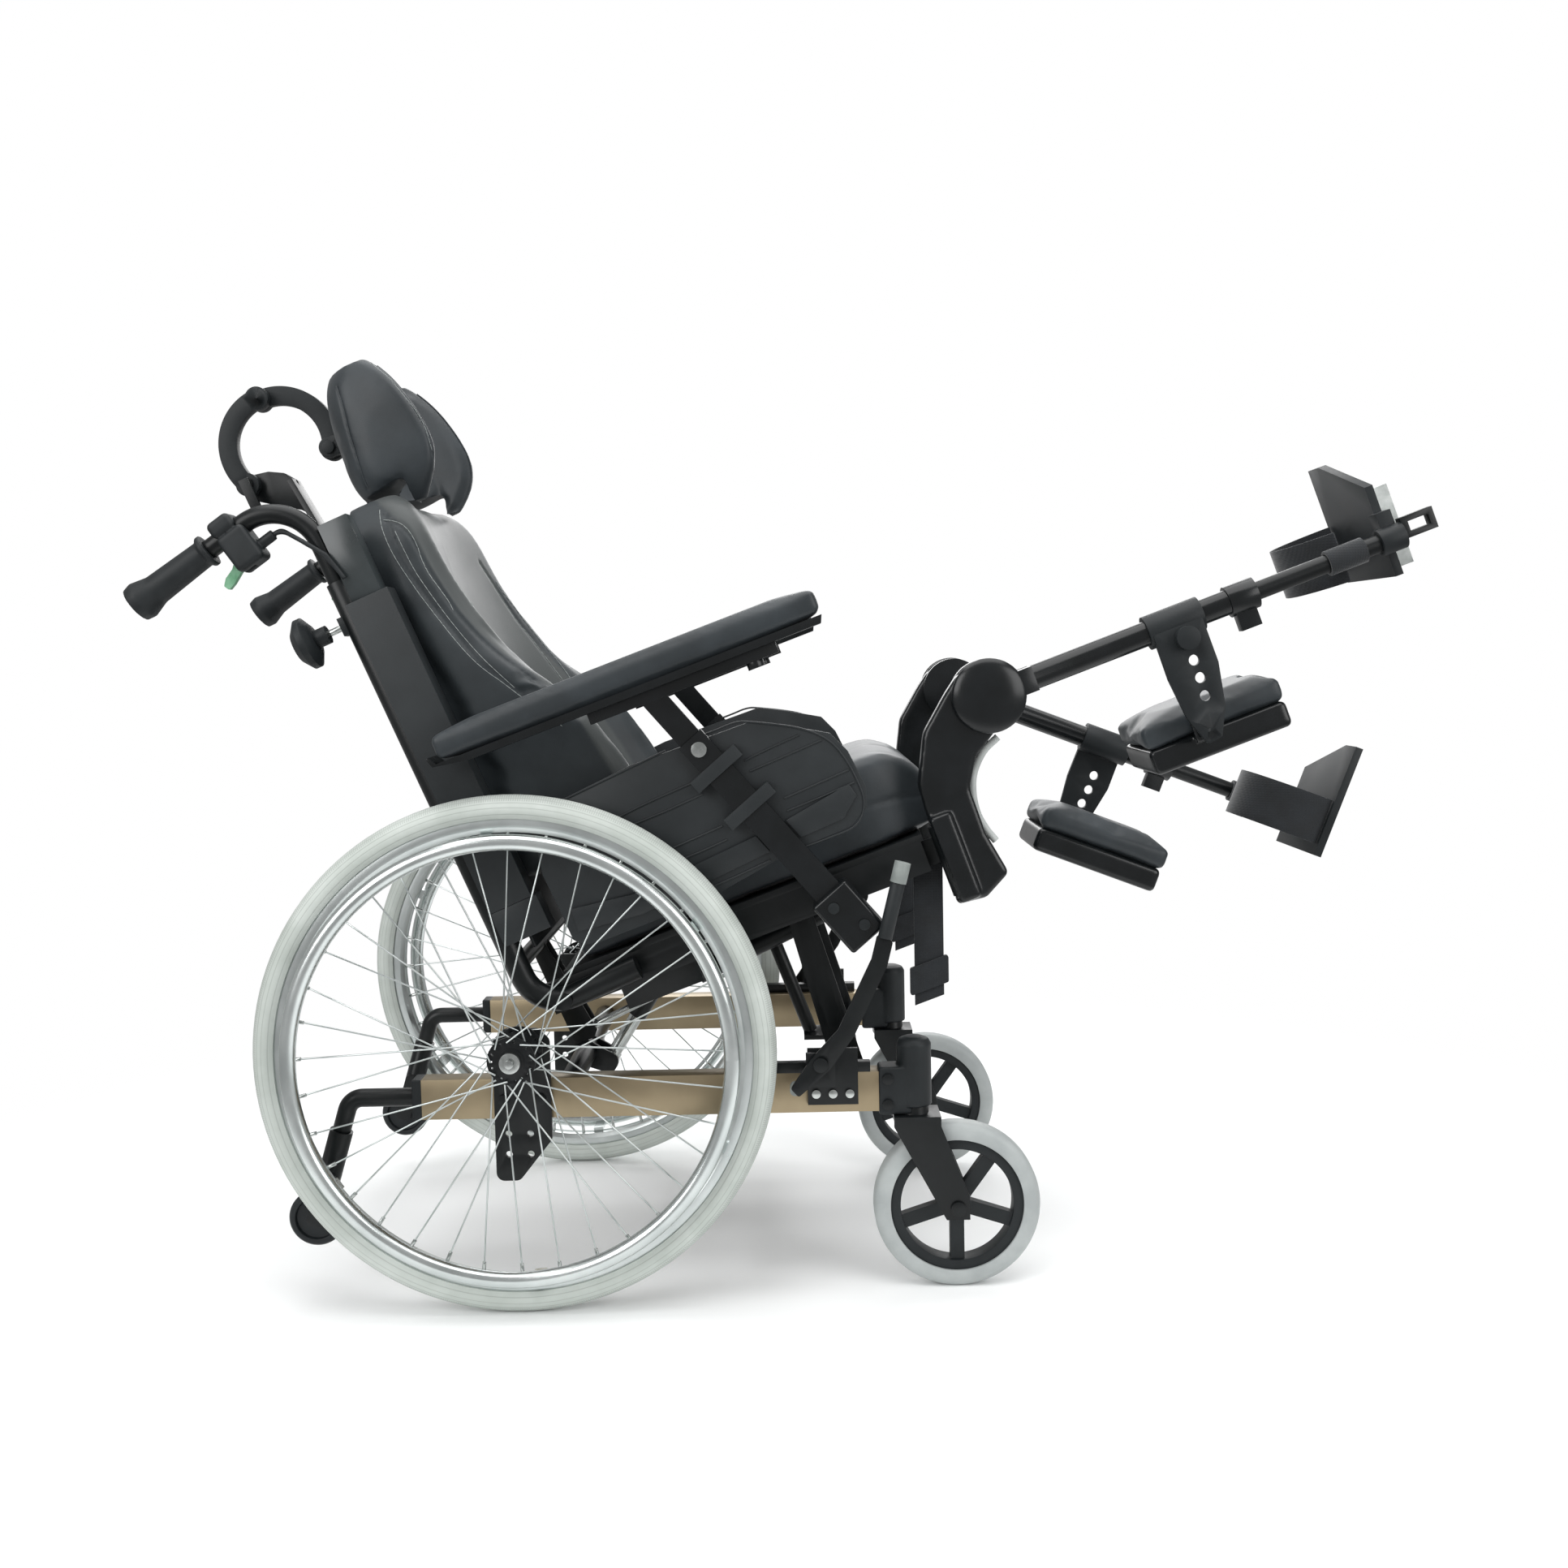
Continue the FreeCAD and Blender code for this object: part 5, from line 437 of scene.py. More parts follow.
def plump(piece, voxel, swell, shrink):
    """Blows a foam block up inside its cover, then holds each point to a few millimetres."""
    piece.data.remesh_voxel_size = voxel
    only(piece)
    bpy.ops.object.voxel_remesh()
    mesh = piece.data
    normals = [v.normal.copy() for v in mesh.vertices]
    for vertex, normal in zip(mesh.vertices, normals):
        vertex.co -= normal * shrink
    start = [v.co.copy() for v in mesh.vertices]
    cloth = piece.modifiers.new("cover", "CLOTH")
    values = cloth.settings
    values.quality = 5
    values.mass = 0.3
    values.tension_stiffness = 18
    values.compression_stiffness = 18
    values.shear_stiffness = 8
    values.bending_stiffness = 1.2
    values.use_pressure = True
    values.uniform_pressure_force = 4
    values.effector_weights.gravity = 0
    cloth.point_cache.frame_start = 1
    cloth.point_cache.frame_end = 20
    for number in range(1, 21):
        bpy.context.scene.frame_set(number)
    only(piece)
    bpy.ops.object.modifier_apply(modifier=cloth.name)
    bpy.context.scene.frame_set(1)
    for vertex, home in zip(piece.data.vertices, start):
        step = vertex.co - home
        if step.length > swell:
            vertex.co = home + step.normalized() * swell
    even = piece.modifiers.new("even", "SMOOTH")
    even.factor = 0.5
    even.iterations = 4
    apply_all(piece)


def finer(piece):
    halved = piece.modifiers.new("finer", "SUBSURF")
    halved.levels = 1
    halved.render_levels = 1
    apply_all(piece)
    only(piece)
    bpy.ops.object.shade_smooth()


def through(points, step=0.003):
    """A smooth row of points through given ones, evenly spaced."""
    dense = []
    ends = [points[0] * 2 - points[1]] + list(points) + [points[-1] * 2 - points[-2]]
    for index in range(1, len(ends) - 2):
        a, b, c, d = ends[index - 1:index + 3]
        count = max(2, int((c - b).length / step) + 1)
        for number in range(count):
            t = number / count
            dense.append(0.5 * ((2 * b) + (c - a) * t + (2 * a - 5 * b + 4 * c - d) * t * t
                                + (3 * b - a - 3 * c + d) * t ** 3))
    dense.append(points[-1])
    return dense

def on_cover(piece, rows):
    """Rows of points moved onto the cover's surface, with its normals. The rows are evened out
    between two moves, so that a fold of the cover does not throw a seam about."""
    tree = BVHTree.FromObject(piece, bpy.context.evaluated_depsgraph_get())
    result = []
    for row in rows:
        points = list(row)
        for _ in range(2):
            points = [tree.find_nearest(point)[0] for point in points]
            for _ in range(14):
                inside = [(a + b * 2 + c) / 4 for a, b, c in zip(points, points[1:], points[2:])]
                points = [points[0], *inside, points[-1]]
        result.append([tree.find_nearest(point)[:2] for point in points])
    return result


def press(piece, rows, depth, half_width):
    """Draws seams into a cover: points near a row sink along their normals."""
    dots = [point for row in on_cover(piece, rows) for point, _ in row]
    tree = KDTree(len(dots))
    for index, point in enumerate(dots):
        tree.insert(point, index)
    tree.balance()
    mesh = piece.data
    moves = []
    for vertex in mesh.vertices:
        _, _, distance = tree.find(vertex.co)
        if distance < half_width * 3:
            moves.append((vertex.index, depth * math.exp(-(distance / half_width) ** 2)))
    normals = {index: mesh.vertices[index].normal.copy() for index, _ in moves}
    for index, amount in moves:
        mesh.vertices[index].co -= normals[index] * amount


# A stitch's four rings: the share of its length, the lift and the size, in thread radii.

THREAD_RINGS = ((0.0, -0.2, 0.5), (0.2, 0.7, 1.0), (0.8, 0.7, 1.0), (1.0, -0.2, 0.5))


def stitches(name, piece, rows, material, body, length=0.0042, gap=0.0026, radius=0.00042):
    """Lock stitches along seams: short threads, each sunk at both ends."""
    mesh = bpy.data.meshes.new(name)
    corners, faces = [], []
    for row in on_cover(piece, rows):
        walked, start = 0.0, None
        for (a, na), (b, nb) in zip(row, row[1:]):
            walked += (b - a).length
            if start is None:
                start, walked = (a, na), 0.0
            elif walked >= length:
                along = (b - start[0])
                if along.length > 1e-6:
                    along.normalize()
                    across = along.cross(nb).normalized()
                    base = len(corners)
                    for share, lift, size in THREAD_RINGS:
                        middle = start[0].lerp(b, share) + nb * radius * lift
                        for turn in range(5):
                            angle = turn * math.tau / 5
                            corners.append(middle + (across * math.cos(angle) + nb * math.sin(angle))
                                           * radius * size)
                    for ring in range(3):
                        for turn in range(5):
                            other = (turn + 1) % 5
                            faces.append((base + ring * 5 + turn, base + ring * 5 + other,
                                          base + ring * 5 + 5 + other, base + ring * 5 + 5 + turn))
                    faces.append(tuple(base + k for k in range(4, -1, -1)))
                    faces.append(tuple(base + 15 + k for k in range(5)))
                start, walked = None, -gap
            if walked < 0:
                start = None
    mesh.from_pydata([tuple(c) for c in corners], [], faces)
    thread = bpy.data.objects.new(name, mesh)
    bpy.context.scene.collection.objects.link(thread)
    recalculated = bmesh.new()
    recalculated.from_mesh(mesh)
    bmesh.ops.recalc_face_normals(recalculated, faces=recalculated.faces)
    recalculated.to_mesh(mesh)
    recalculated.free()
    give(thread, material)
    settle(thread, body)
    return thread


def tube_along(name, points, radius, material, rounding=2):
    """A round cord or piping as a mesh along evenly spaced points."""
    curve = bpy.data.curves.new(name + "_line", "CURVE")
    curve.dimensions = "3D"
    spline = curve.splines.new("POLY")
    spline.points.add(len(points) - 1)
    for item, point in zip(spline.points, points):
        item.co = (*point, 1)
    curve.bevel_depth = radius
    curve.bevel_resolution = rounding

    curve.use_fill_caps = True
    holder = bpy.data.objects.new(name, curve)
    bpy.context.scene.collection.objects.link(holder)
    only(holder)
    bpy.ops.object.convert(target="MESH")
    made = bpy.context.view_layer.objects.active
    made.name = name
    give(made, material)
    bpy.ops.object.shade_smooth()
    return made


# Settings a user would change

class ChairSettings(bpy.types.PropertyGroup):
    """Sizes and colours of the chair's dress."""

    foam_swell: FloatProperty(name="Foam swell", description="How far a cover may bulge", default=0.006,
                              unit="LENGTH")
    stitch_length: FloatProperty(name="Stitch length", description="Length of one sewing stitch",
                                 default=0.0042, unit="LENGTH")
    seam_depth: FloatProperty(name="Seam depth", description="How deep a seam draws the cover in",
                              default=0.0022, unit="LENGTH")
    floor_colour: FloatVectorProperty(name="Floor colour", description="Colour of the studio floor",
                                      default=(0.9, 0.91, 0.91), subtype="COLOR")
    lamp_power: FloatProperty(name="Lamp power", description="Power of the large lamp overhead",
                              default=104.0, subtype="POWER")


# The camera as it was solved from the photo: yaw, pitch and roll in radians, its place in
# metres, and the focal length and the picture's width in pixels.

CAMERA_TURNS = (0.0045, 0.079, -0.021)
CAMERA_PLACE = ((327.8 - ORIGIN_AHEAD) / 1000, -2.1369, 0.7619)
FOCAL_LENGTH = 1993.7
PHOTO_WIDTH = 1932
SENSOR_WIDTH = 36.0

# Each lamp's place, size, share of the lamp power and the point it aims at.

LAMPS = (
    ("lamp_above", (0.0, -0.3, 3.2), 3.4, 1.0, (0, 0, 0.6)),
    ("lamp_front_left", (-2.6, -2.6, 2.0), 2.2, 0.62, (0, 0, 0.55)),
    ("lamp_front_right", (2.7, -2.4, 1.7), 2.2, 0.5, (0.1, 0, 0.5)),
    ("lamp_behind", (0.2, 2.9, 2.2), 2.6, 0.6, (0, 0, 0.5)),
)


class ChairStage(bpy.types.Operator):
    """Sets up the camera, the floor and the studio lamps"""

    bl_idname = "chair.stage"
    bl_label = "Stage"

    def execute(self, context):
        settings = context.scene.chair
        yaw, pitch, roll = CAMERA_TURNS
        forward = Vector((-math.sin(yaw) * math.cos(pitch), math.cos(yaw) * math.cos(pitch),
                          -math.sin(pitch)))
        level = Vector((math.cos(yaw), math.sin(yaw), 0))
        upright = level.cross(forward)
        right = math.cos(roll) * level + math.sin(roll) * upright
        up = -math.sin(roll) * level + math.cos(roll) * upright
        lens = bpy.data.cameras.new("studio_camera")
        lens.sensor_fit = "HORIZONTAL"
        lens.sensor_width = SENSOR_WIDTH
        lens.lens = SENSOR_WIDTH * FOCAL_LENGTH / PHOTO_WIDTH
        lens.clip_end = 100
        camera = bpy.data.objects.new("studio_camera", lens)
        context.scene.collection.objects.link(camera)
        turn = Matrix((right, up, -forward)).transposed().to_4x4()
        camera.matrix_world = Matrix.Translation(CAMERA_PLACE) @ turn
        context.scene.camera = camera
        bpy.ops.object.select_all(action="DESELECT")
        bpy.ops.mesh.primitive_plane_add(size=14, location=(0, 0, -0.0005))
        floor = context.active_object
        floor.name = "studio_floor"
        paint = bpy.data.materials.new("studio_floor_paint")
        paint.use_nodes = True
        tree = paint.node_tree
        shader = tree.nodes["Principled BSDF"]
        shader.inputs["Base Color"].default_value = (*settings.floor_colour, 1)
        shader.inputs["Roughness"].default_value = 0.9
        shader.inputs["Specular IOR Level"].default_value = 0.1
        place = add(tree, "ShaderNodeTexCoord")
        reach = add(tree, "ShaderNodeVectorMath", {"operation": "LENGTH"}, {0: (place, "Object")})
        fade = add(tree, "ShaderNodeMapRange", {"interpolation_type": "SMOOTHSTEP", "From Min": 1.5,
                                                "From Max": 0.7, "To Min": 0.0, "To Max": 1.0},
                   {"Value": (reach, "Value")})
        tree.links.new(fade.outputs["Result"], shader.inputs["Alpha"])
        give(floor, paint)
        for name, place, size, share, aim in LAMPS:
            light = bpy.data.lights.new(name, "AREA")
            light.size = size
            light.energy = settings.lamp_power * share
            lamp = bpy.data.objects.new(name, light)
            context.scene.collection.objects.link(lamp)
            away = Vector(place) - Vector(aim)
            lamp.matrix_world = (Matrix.Translation(place)
                                 @ away.to_track_quat("Z", "Y").to_matrix().to_4x4())
        world = bpy.data.worlds.new("studio_air")
        world.use_nodes = True
        tree = world.node_tree
        seen = add(tree, "ShaderNodeLightPath")
        strength = add(tree, "ShaderNodeMapRange", {"To Min": 0.42, "To Max": 1.0},
                       {"Value": (seen, "Is Camera Ray")})
        tree.nodes["Background"].inputs["Color"].default_value = (1, 1, 1, 1)
        tree.links.new(strength.outputs["Result"], tree.nodes["Background"].inputs["Strength"])
        context.scene.world = world
        context.scene.view_settings.view_transform = "Standard"
        return {"FINISHED"}


# Which finish each solid of a rigid node has: one name for them all, or a rule that gives it from
# the solid's size and its middle in the row frame, in millimetres.

def small_steel(limit, other):
    """A rule for fittings with bolts: a solid under the limit is steel."""
    return lambda size, middle: "steel" if max(size) < limit else other


def wheel_rule(size, middle):
    if max(size) < 90 and min(size) > 30:
        return "powder"
    return "steel" if max(size) < 30 else "alloy"


def frame_rule(size, middle):
    return "gold" if size.x > 300 else "powder"


def axle_rule(size, middle):
    return "steel" if abs(middle.y) > 318 or size.y > 60 else "powder"


def back_frame_rule(size, middle):
    if max(size) < 24 and min(size) < 10 and middle.z > 500:
        return "steel"
    return "powder" if max(size) > 80 else "matte"


def shell_rule(size, middle):
    """The side covers' upper length has a satin gloss and paler tones, a painted highlight of its lit side
    face; the rest is matte.
    """
    return "cover" if (BACK.inverted() @ middle).z > 540 and abs(middle.y) > 200 else "panel"


def caster_rule(size, middle):
    if max(size) > 185:
        return "caster"
    return "steel" if max(size) < 30 else "matte"


def brake_lever_rule(size, middle):
    if size.y > 18.2 and max(size) < 35:
        return "tip"
    return "grip" if size.y > 15 else "powder"


def foot_rule(size, middle):
    if max(size) < 112 and 50 < size.y < 70:
        return "cast"
    return "matte" if max(size) > 150 else "powder"


def arm_post_rule(size, middle):
    height = (ARM.inverted() @ middle).z
    if max(size) < 22 and abs(middle.y) > 266 and height > 200:
        return "steel"
    return "matte" if height < -10 else "gloss"


RULES = {
    "base_frame": frame_rule, "axle_plates": axle_rule, "back_frame": back_frame_rule,
    "back_shell": shell_rule, "caster_wheel": caster_rule, "brake_lever": brake_lever_rule,
    "footplate": foot_rule, "arm_post": arm_post_rule, "spoked_wheel": wheel_rule,
    "headrest_lower_arm": small_steel(30, "matte"), "headrest_upper_arm": small_steel(30, "matte"),
    "calf_bracket": small_steel(20, "matte"), "brake_brackets": small_steel(16, "powder"),
    "headrest_bar": "powder", "side_panel": "panel", "leg_tube": "gloss", "tipper_arm": "powder",
    "tipper_wheel": "matte", "seat_frame": "powder", "caster_fork": "powder", "push_handle": "powder",
}

# Nodes rounded as mouldings: the least middle size of a solid in mm, the grid, the rounding
# passes and the finish.

MOULDED = {
    "leg_hanger": (40, 0.0022, 26, "gloss"),
    "handle_grip": (30, 0.0014, 8, "grip"),
    "frame_end_fittings": (30, 0.0017, 5, "matte"),
}

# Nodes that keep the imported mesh, and their finish.

AS_PACKED = {
    "tilt_rod": "steel", "tilt_cylinder": "powder", "recline_cylinder": "powder",
    "recline_rod": "steel", "tyre": "tyre", "handrim": "handrim", "release_lever": "green",
    "leg_extension": "powder",
}


class ChairMetalwork(bpy.types.Operator):
    """Gives every rigid sub-part its finish, with softened edges"""

    bl_idname = "chair.metalwork"
    bl_label = "Frame and fittings"

    def execute(self, context):
        for node, item in frame["nodes"].items():
            stem = stem_of(node)
            if stem in MOULDED:
                self.moulded(node, *MOULDED[stem])
            elif stem in RULES:
                self.parted(node, RULES[stem])
            elif stem in AS_PACKED:
                material = context_finishes()[AS_PACKED[stem]]
                if not item.material_slots:
                    item.data.materials.append(material)
                for slot in item.material_slots:
                    slot.material = material
        return {"FINISHED"}

    def parted(self, node, rule):
        """The node's solids with softened edges, each with the finish of its rule."""
        piece = copy_of(node, node + "_solids")
        names = []
        for group, low, high in islands(piece):
            name = rule if isinstance(rule, str) else rule((high - low) * 1000, (low + high) / 2 * 1000)
            if name not in names:
                names.append(name)
                piece.data.materials.append(context_finishes()[name])
            for index in group:
                piece.data.polygons[index].material_index = names.index(name)
        soften(piece)
        settle(piece, body_name(node), (node,))

    def moulded(self, node, least, voxel, passes, kind):
        """The node's large solids as rounded mouldings, and its small ones as they are."""
        def large(groups):
            return [item for item in groups if sorted(item[2] - item[1])[1] * 1000 > least]

        whole, small = split(node, node + "_mouldings", node + "_fittings", large)
        if small:
            if stem_of(node) == "handle_grip":
                self.shorten_cable(small)
            soften(small)
            give(small, context_finishes()["powder"])
            settle(small, body_name(node), (node,))
        mould(whole, voxel, passes)
        give(whole, context_finishes()[kind])
        settle(whole, body_name(node), (node,))

    def shorten_cable(self, piece):
        """Ends the solid cable inside its gland, where the declared cable starts."""
        sheet = bmesh.new()
        sheet.from_mesh(piece.data)
        bmesh.ops.bisect_plane(sheet, geom=sheet.verts[:] + sheet.edges[:] + sheet.faces[:],
                               plane_co=at(HANDLE, 71, 0, 0), plane_no=HANDLE.to_3x3() @ Vector((1, 0, 0)),
                               clear_outer=True)
        bmesh.ops.holes_fill(sheet, edges=[edge for edge in sheet.edges if edge.is_boundary])
        sheet.to_mesh(piece.data)
        sheet.free()


# The back cushion's sewing, from its side: X and Z in the back's frame, Y towards the user's left.

OUTER_SEAM = [(35, -181, 632), (31, -190, 614), (29, -197, 591), (31, -199, 566), (36, -201, 540),
              (42, -202, 510), (49, -203, 482), (54, -203, 457), (61, -204, 431), (71, -204, 403),
              (88, -204, 374), (102, -204, 347), (115, -204, 329), (132, -204, 296)]
TAPE_SEAM = [(39, -187, 621), (38, -195, 600), (38, -198, 578), (40, -201, 549), (46, -202, 522),
             (52, -203, 493), (59, -203, 463), (65, -204, 440), (73, -204, 412), (85, -204, 386),
             (101, -204, 358), (124, -204, 325)]
INNER_TAPE = [(43, -196, 595), (45, -199, 571), (47, -201, 538), (52, -202, 509), (59, -203, 477),
              (67, -204, 447), (76, -204, 416), (87, -204, 390), (99, -204, 361)]
LEAF_SEAM = [(37, -190, 614), (53, -194, 601), (60, -197, 584), (63, -199, 556), (65, -200, 534),
             (70, -201, 503), (75, -202, 474)]
CREST_SEAM = [(75, -202, 474), (86, -202, 441), (102, -202, 407), (120, -201, 378), (137, -202, 344),
              (150, -203, 318)]
FAR_SEAM = [(66, 140, 560), (72, 147, 537), (75, 151, 516), (78, 154, 490), (83, 154, 460),
            (91, 155, 437), (97, 151, 406), (103, 148, 378), (109, 146, 350), (116, 145, 310)]
FAR_TAPE = [(78, 158, 530), (81, 163, 505), (85, 169, 485), (89, 167, 464), (97, 166, 439),
            (106, 162, 405), (113, 158, 377), (118, 152, 347), (121, 149, 320)]


def rows_in(place, tables, flip=False):
    """Tables of listed points as smooth rows in the row frame."""
    return [through([at(place, x, -y if flip else y, z) for x, y, z in table]) for table in tables]


def on_both_sides(place, tables):
    return rows_in(place, tables) + rows_in(place, tables, True)


# Where the back's paler middle starts: X and Z along the wing's crest.

CREST_EDGE = [(33, 640), (53, 601), (62, 570), (65, 534), (70, 503), (75, 474), (86, 441), (102, 407),
              (120, 378), (137, 344), (150, 318), (170, 150)]

# Soft pulls where the bolster meets the seat, fanning from the tape, and those of the middle.

SIDE_FANS = [[(112, -203, 372), (128, -200, 366), (150, -196, 352)],
             [(108, -204, 356), (130, -201, 346), (156, -197, 330)],
             [(104, -204, 342), (126, -202, 326), (150, -199, 306)]]
MIDDLE_FANS = [[(92, -60, 330), (98, -20, 322), (96, 30, 326)],
               [(90, -90, 300), (96, -40, 288), (97, 10, 292)]]


class ChairBackCushion(bpy.types.Operator):
    """Makes the winged back cushion with its paler scooped middle and sewn bolsters"""

    bl_idname = "chair.back_cushion"
    bl_label = "Back cushion"

    def execute(self, context):
        finishes = context_finishes()
        settings = context.scene.chair
        piece = copy_of("back_cushion", "back_cushion_cover")
        plump(piece, 0.0062, settings.foam_swell, 0.004)
        finer(piece)
        seams = rows_in(BACK, [LEAF_SEAM, CREST_SEAM]) + on_both_sides(BACK, [TAPE_SEAM, FAR_SEAM])
        press(piece, seams, settings.seam_depth, 0.0028)
        press(piece, on_both_sides(BACK, SIDE_FANS) + rows_in(BACK, MIDDLE_FANS), 0.0030, 0.0075)
        self.paler_middle(piece)
        give(piece, finishes["leather"])
        settle(piece, "back", ("back_cushion",))
        rows = on_both_sides(BACK, [OUTER_SEAM, INNER_TAPE, LEAF_SEAM])
        rows += on_both_sides(BACK, [FAR_SEAM, FAR_TAPE])
        stitches("back_cushion_stitches", piece, rows, finishes["thread"], "back",
                 length=settings.stitch_length)
        return {"FINISHED"}

    def paler_middle(self, piece):
        """Marks the scooped middle: inside the crest on the right, inside the seam on the left."""
        inward = BACK.inverted()
        mark = piece.data.attributes.new("middle", "FLOAT", "POINT")
        values = []
        for vertex in piece.data.vertices:
            x, y, z = inward @ (vertex.co * 1000)
            edge = CREST_EDGE[-1][0] if z <= CREST_EDGE[0][1] else 30
            for (x0, z0), (x1, z1) in zip(CREST_EDGE, CREST_EDGE[1:]):
                if z0 >= z >= z1:
                    edge = x0 + (x1 - x0) * (z0 - z) / (z0 - z1)
                    break
            share = (154 - y) / 3 if y > 0 else (x - edge) / 3
            if x < 25 and z < 640:
                share = -1
            values.append(min(1.0, max(0.0, share + 0.5)))
        mark.data.foreach_set("value", values)


# The seat cushion's top edge in the seat's frame: one side's row, and the front one.

SEAT_SIDE = [(205, -203, 388), (300, -203, 392), (420, -202, 398), (540, -198, 402), (620, -184, 398),
             (668, -168, 384)]
SEAT_FRONT = [(677, -160, 380), (679, -80, 382), (679, 0, 382), (679, 80, 382), (677, 160, 380)]


class ChairSeatCushion(bpy.types.Operator):
    """Makes the seat cushion with its boxed sides and sewn top edge"""

    bl_idname = "chair.seat_cushion"
    bl_label = "Seat cushion"

    def execute(self, context):
        settings = context.scene.chair
        piece = copy_of("seat_cushion", "seat_cushion_cover")
        plump(piece, 0.007, settings.foam_swell, 0.004)
        finer(piece)
        rows = on_both_sides(SEAT, [SEAT_SIDE]) + rows_in(SEAT, [SEAT_FRONT])
        press(piece, rows, settings.seam_depth, 0.003)
        give(piece, context_finishes()["leather_plain"])
        settle(piece, "seat", ("seat_cushion",))
        return {"FINISHED"}


HEAD_REAR_SEAM = [(39, -120, 794), (36, -126, 766), (31, -127, 738), (27, -127, 713), (23, -126, 688),
                  (18, -122, 664)]
HEAD_STITCH = [(96, -112, 806), (101, -119, 796), (108, -122, 782), (115, -127, 754), (120, -127, 730),
               (123, -128, 705), (121, -129, 684), (117, -127, 667)]
HEAD_PIPING = [(110, -104, 806), (118, -108, 790), (124, -112, 765), (129, -114, 735), (131, -115, 705),
               (130, -113, 684), (125, -110, 668)]


class ChairHeadrest(bpy.types.Operator):
    """Makes the winged headrest pad with its back shell, piping and stitching"""

    bl_idname = "chair.headrest"
    bl_label = "Headrest"

    def execute(self, context):
        finishes = context_finishes()
        whole, bracket = split("headrest_pad", "headrest_pad_cover", "headrest_pad_bracket",
                               most(lambda low, high: (high - low).length))
        soften(bracket)
        give(bracket, finishes["matte"])
        plump(whole, 0.0045, 0.005, 0.0035)
        finer(whole)
        press(whole, on_both_sides(BACK, [HEAD_REAR_SEAM, HEAD_STITCH]), 0.0018, 0.0024)
        give(whole, finishes["leather_plain"])
        settle(whole, "headrest_pad", ("headrest_pad",))
        settle(bracket, "headrest_pad", ("headrest_pad",))
        seams = on_both_sides(BACK, [HEAD_STITCH])
        stitches("headrest_stitches", whole, seams, finishes["thread"], "headrest_pad", length=0.0034,
                 gap=0.002)
        for part, table in (("piping", HEAD_PIPING), ("edge", HEAD_REAR_SEAM)):
            for side in SIDES:
                row = on_cover(whole, rows_in(BACK, [table], side == "left"))[0]
                cord = tube_along(f"headrest_{part}_{side}", [p + n * 0.0003 for p, n in row], 0.0011,
                                  finishes["leather_plain"])
                settle(cord, "headrest_pad")
        return {"FINISHED"}


def wide_area(low, high):
    """A solid's area from above, where it is wide enough for a pad."""
    size = high - low
    return size.x * size.y if size.y > 0.06 else 0


class ChairArmPads(bpy.types.Operator):
    """Makes the padded armrests on their glossy trays"""

    bl_idname = "chair.arm_pads"
    bl_label = "Armrests"

    def execute(self, context):
        finishes = context_finishes()
        for side in SIDES:
            node = "arm_pad_" + side
            whole, tray = split(node, "armrest_cover_" + side, "armrest_tray_" + side, most(wide_area))
            soften(tray)
            give(tray, finishes["gloss"])
            plump(whole, 0.0042, 0.0055, 0.003)
            finer(whole)
            give(whole, finishes["leather_plain"])
            settle(whole, node, (node,))
            settle(tray, node, (node,))
        return {"FINISHED"}


class ChairCalfPads(bpy.types.Operator):
    """Makes the calf pads on their trays"""

    bl_idname = "chair.calf_pads"
    bl_label = "Calf pads"

    def execute(self, context):
        finishes = context_finishes()
        for side in SIDES:
            node = "calf_pad_" + side
            inward = LEGS[side].inverted()

            def height(low, high):
                return (inward @ ((low + high) * 500)).z if (high - low).length > 0.1 else -999

            whole, tray = split(node, "calf_pad_cover_" + side, "calf_pad_tray_" + side, most(height))
            mould(tray, 0.0022, 9)
            give(tray, finishes["gloss"])
            plump(whole, 0.0045, 0.009, 0.001)
            finer(whole)
            give(whole, finishes["leather_plain"])
            settle(whole, node, (node,))
            settle(tray, node, (node,))
        return {"FINISHED"}


class ChairStraps(bpy.types.Operator):
    """Makes the heel slings and the lap belt from webbing"""

    bl_idname = "chair.straps"
    bl_label = "Straps"

    def execute(self, context):
        finishes = context_finishes()
        for node in ("heel_strap_right", "heel_strap_left", "lap_belt"):
            piece = copy_of(node, node + "_webbing")
            soften(piece, 0.0006, 50)
            give(piece, finishes["webbing"])
            settle(piece, body_name(node), (node,))
        return {"FINISHED"}


# The side panel's raised lines in the seat's frame, X and Z, and the pale liner of the hanger.

PANEL_LINES = [
    [(444, 554), (462, 554), (482, 554), (500, 548), (550, 521), (576, 496), (587, 468), (591, 436),
     (590, 416), (581, 399), (565, 390), (534, 389), (504, 389)],
    [(258, 542), (332, 548), (395, 553)],
    [(313, 500), (356, 504), (418, 507)], [(317, 486), (367, 487), (417, 490)],
    [(477, 509), (511, 512), (547, 514)], [(478, 495), (526, 497), (569, 499)],
    [(350, 443), (388, 445), (425, 447)], [(354, 427), (392, 428), (424, 430)],
    [(504, 451), (545, 453), (586, 455)], [(502, 436), (545, 437), (587, 439)],
    [(380, 384), (422, 386), (463, 389)]]
LINER_FRONT = [(767, 423), (745, 413), (726, 394), (716, 372), (712, 347), (715, 325), (721, 307)]


def joined(name, pieces):
    """Several pieces as one."""
    bpy.ops.object.select_all(action="DESELECT")
    for piece in pieces:
        piece.select_set(True)
    bpy.context.view_layer.objects.active = pieces[0]
    if len(pieces) > 1:
        bpy.ops.object.join()
    pieces[0].name = name
    return pieces[0]


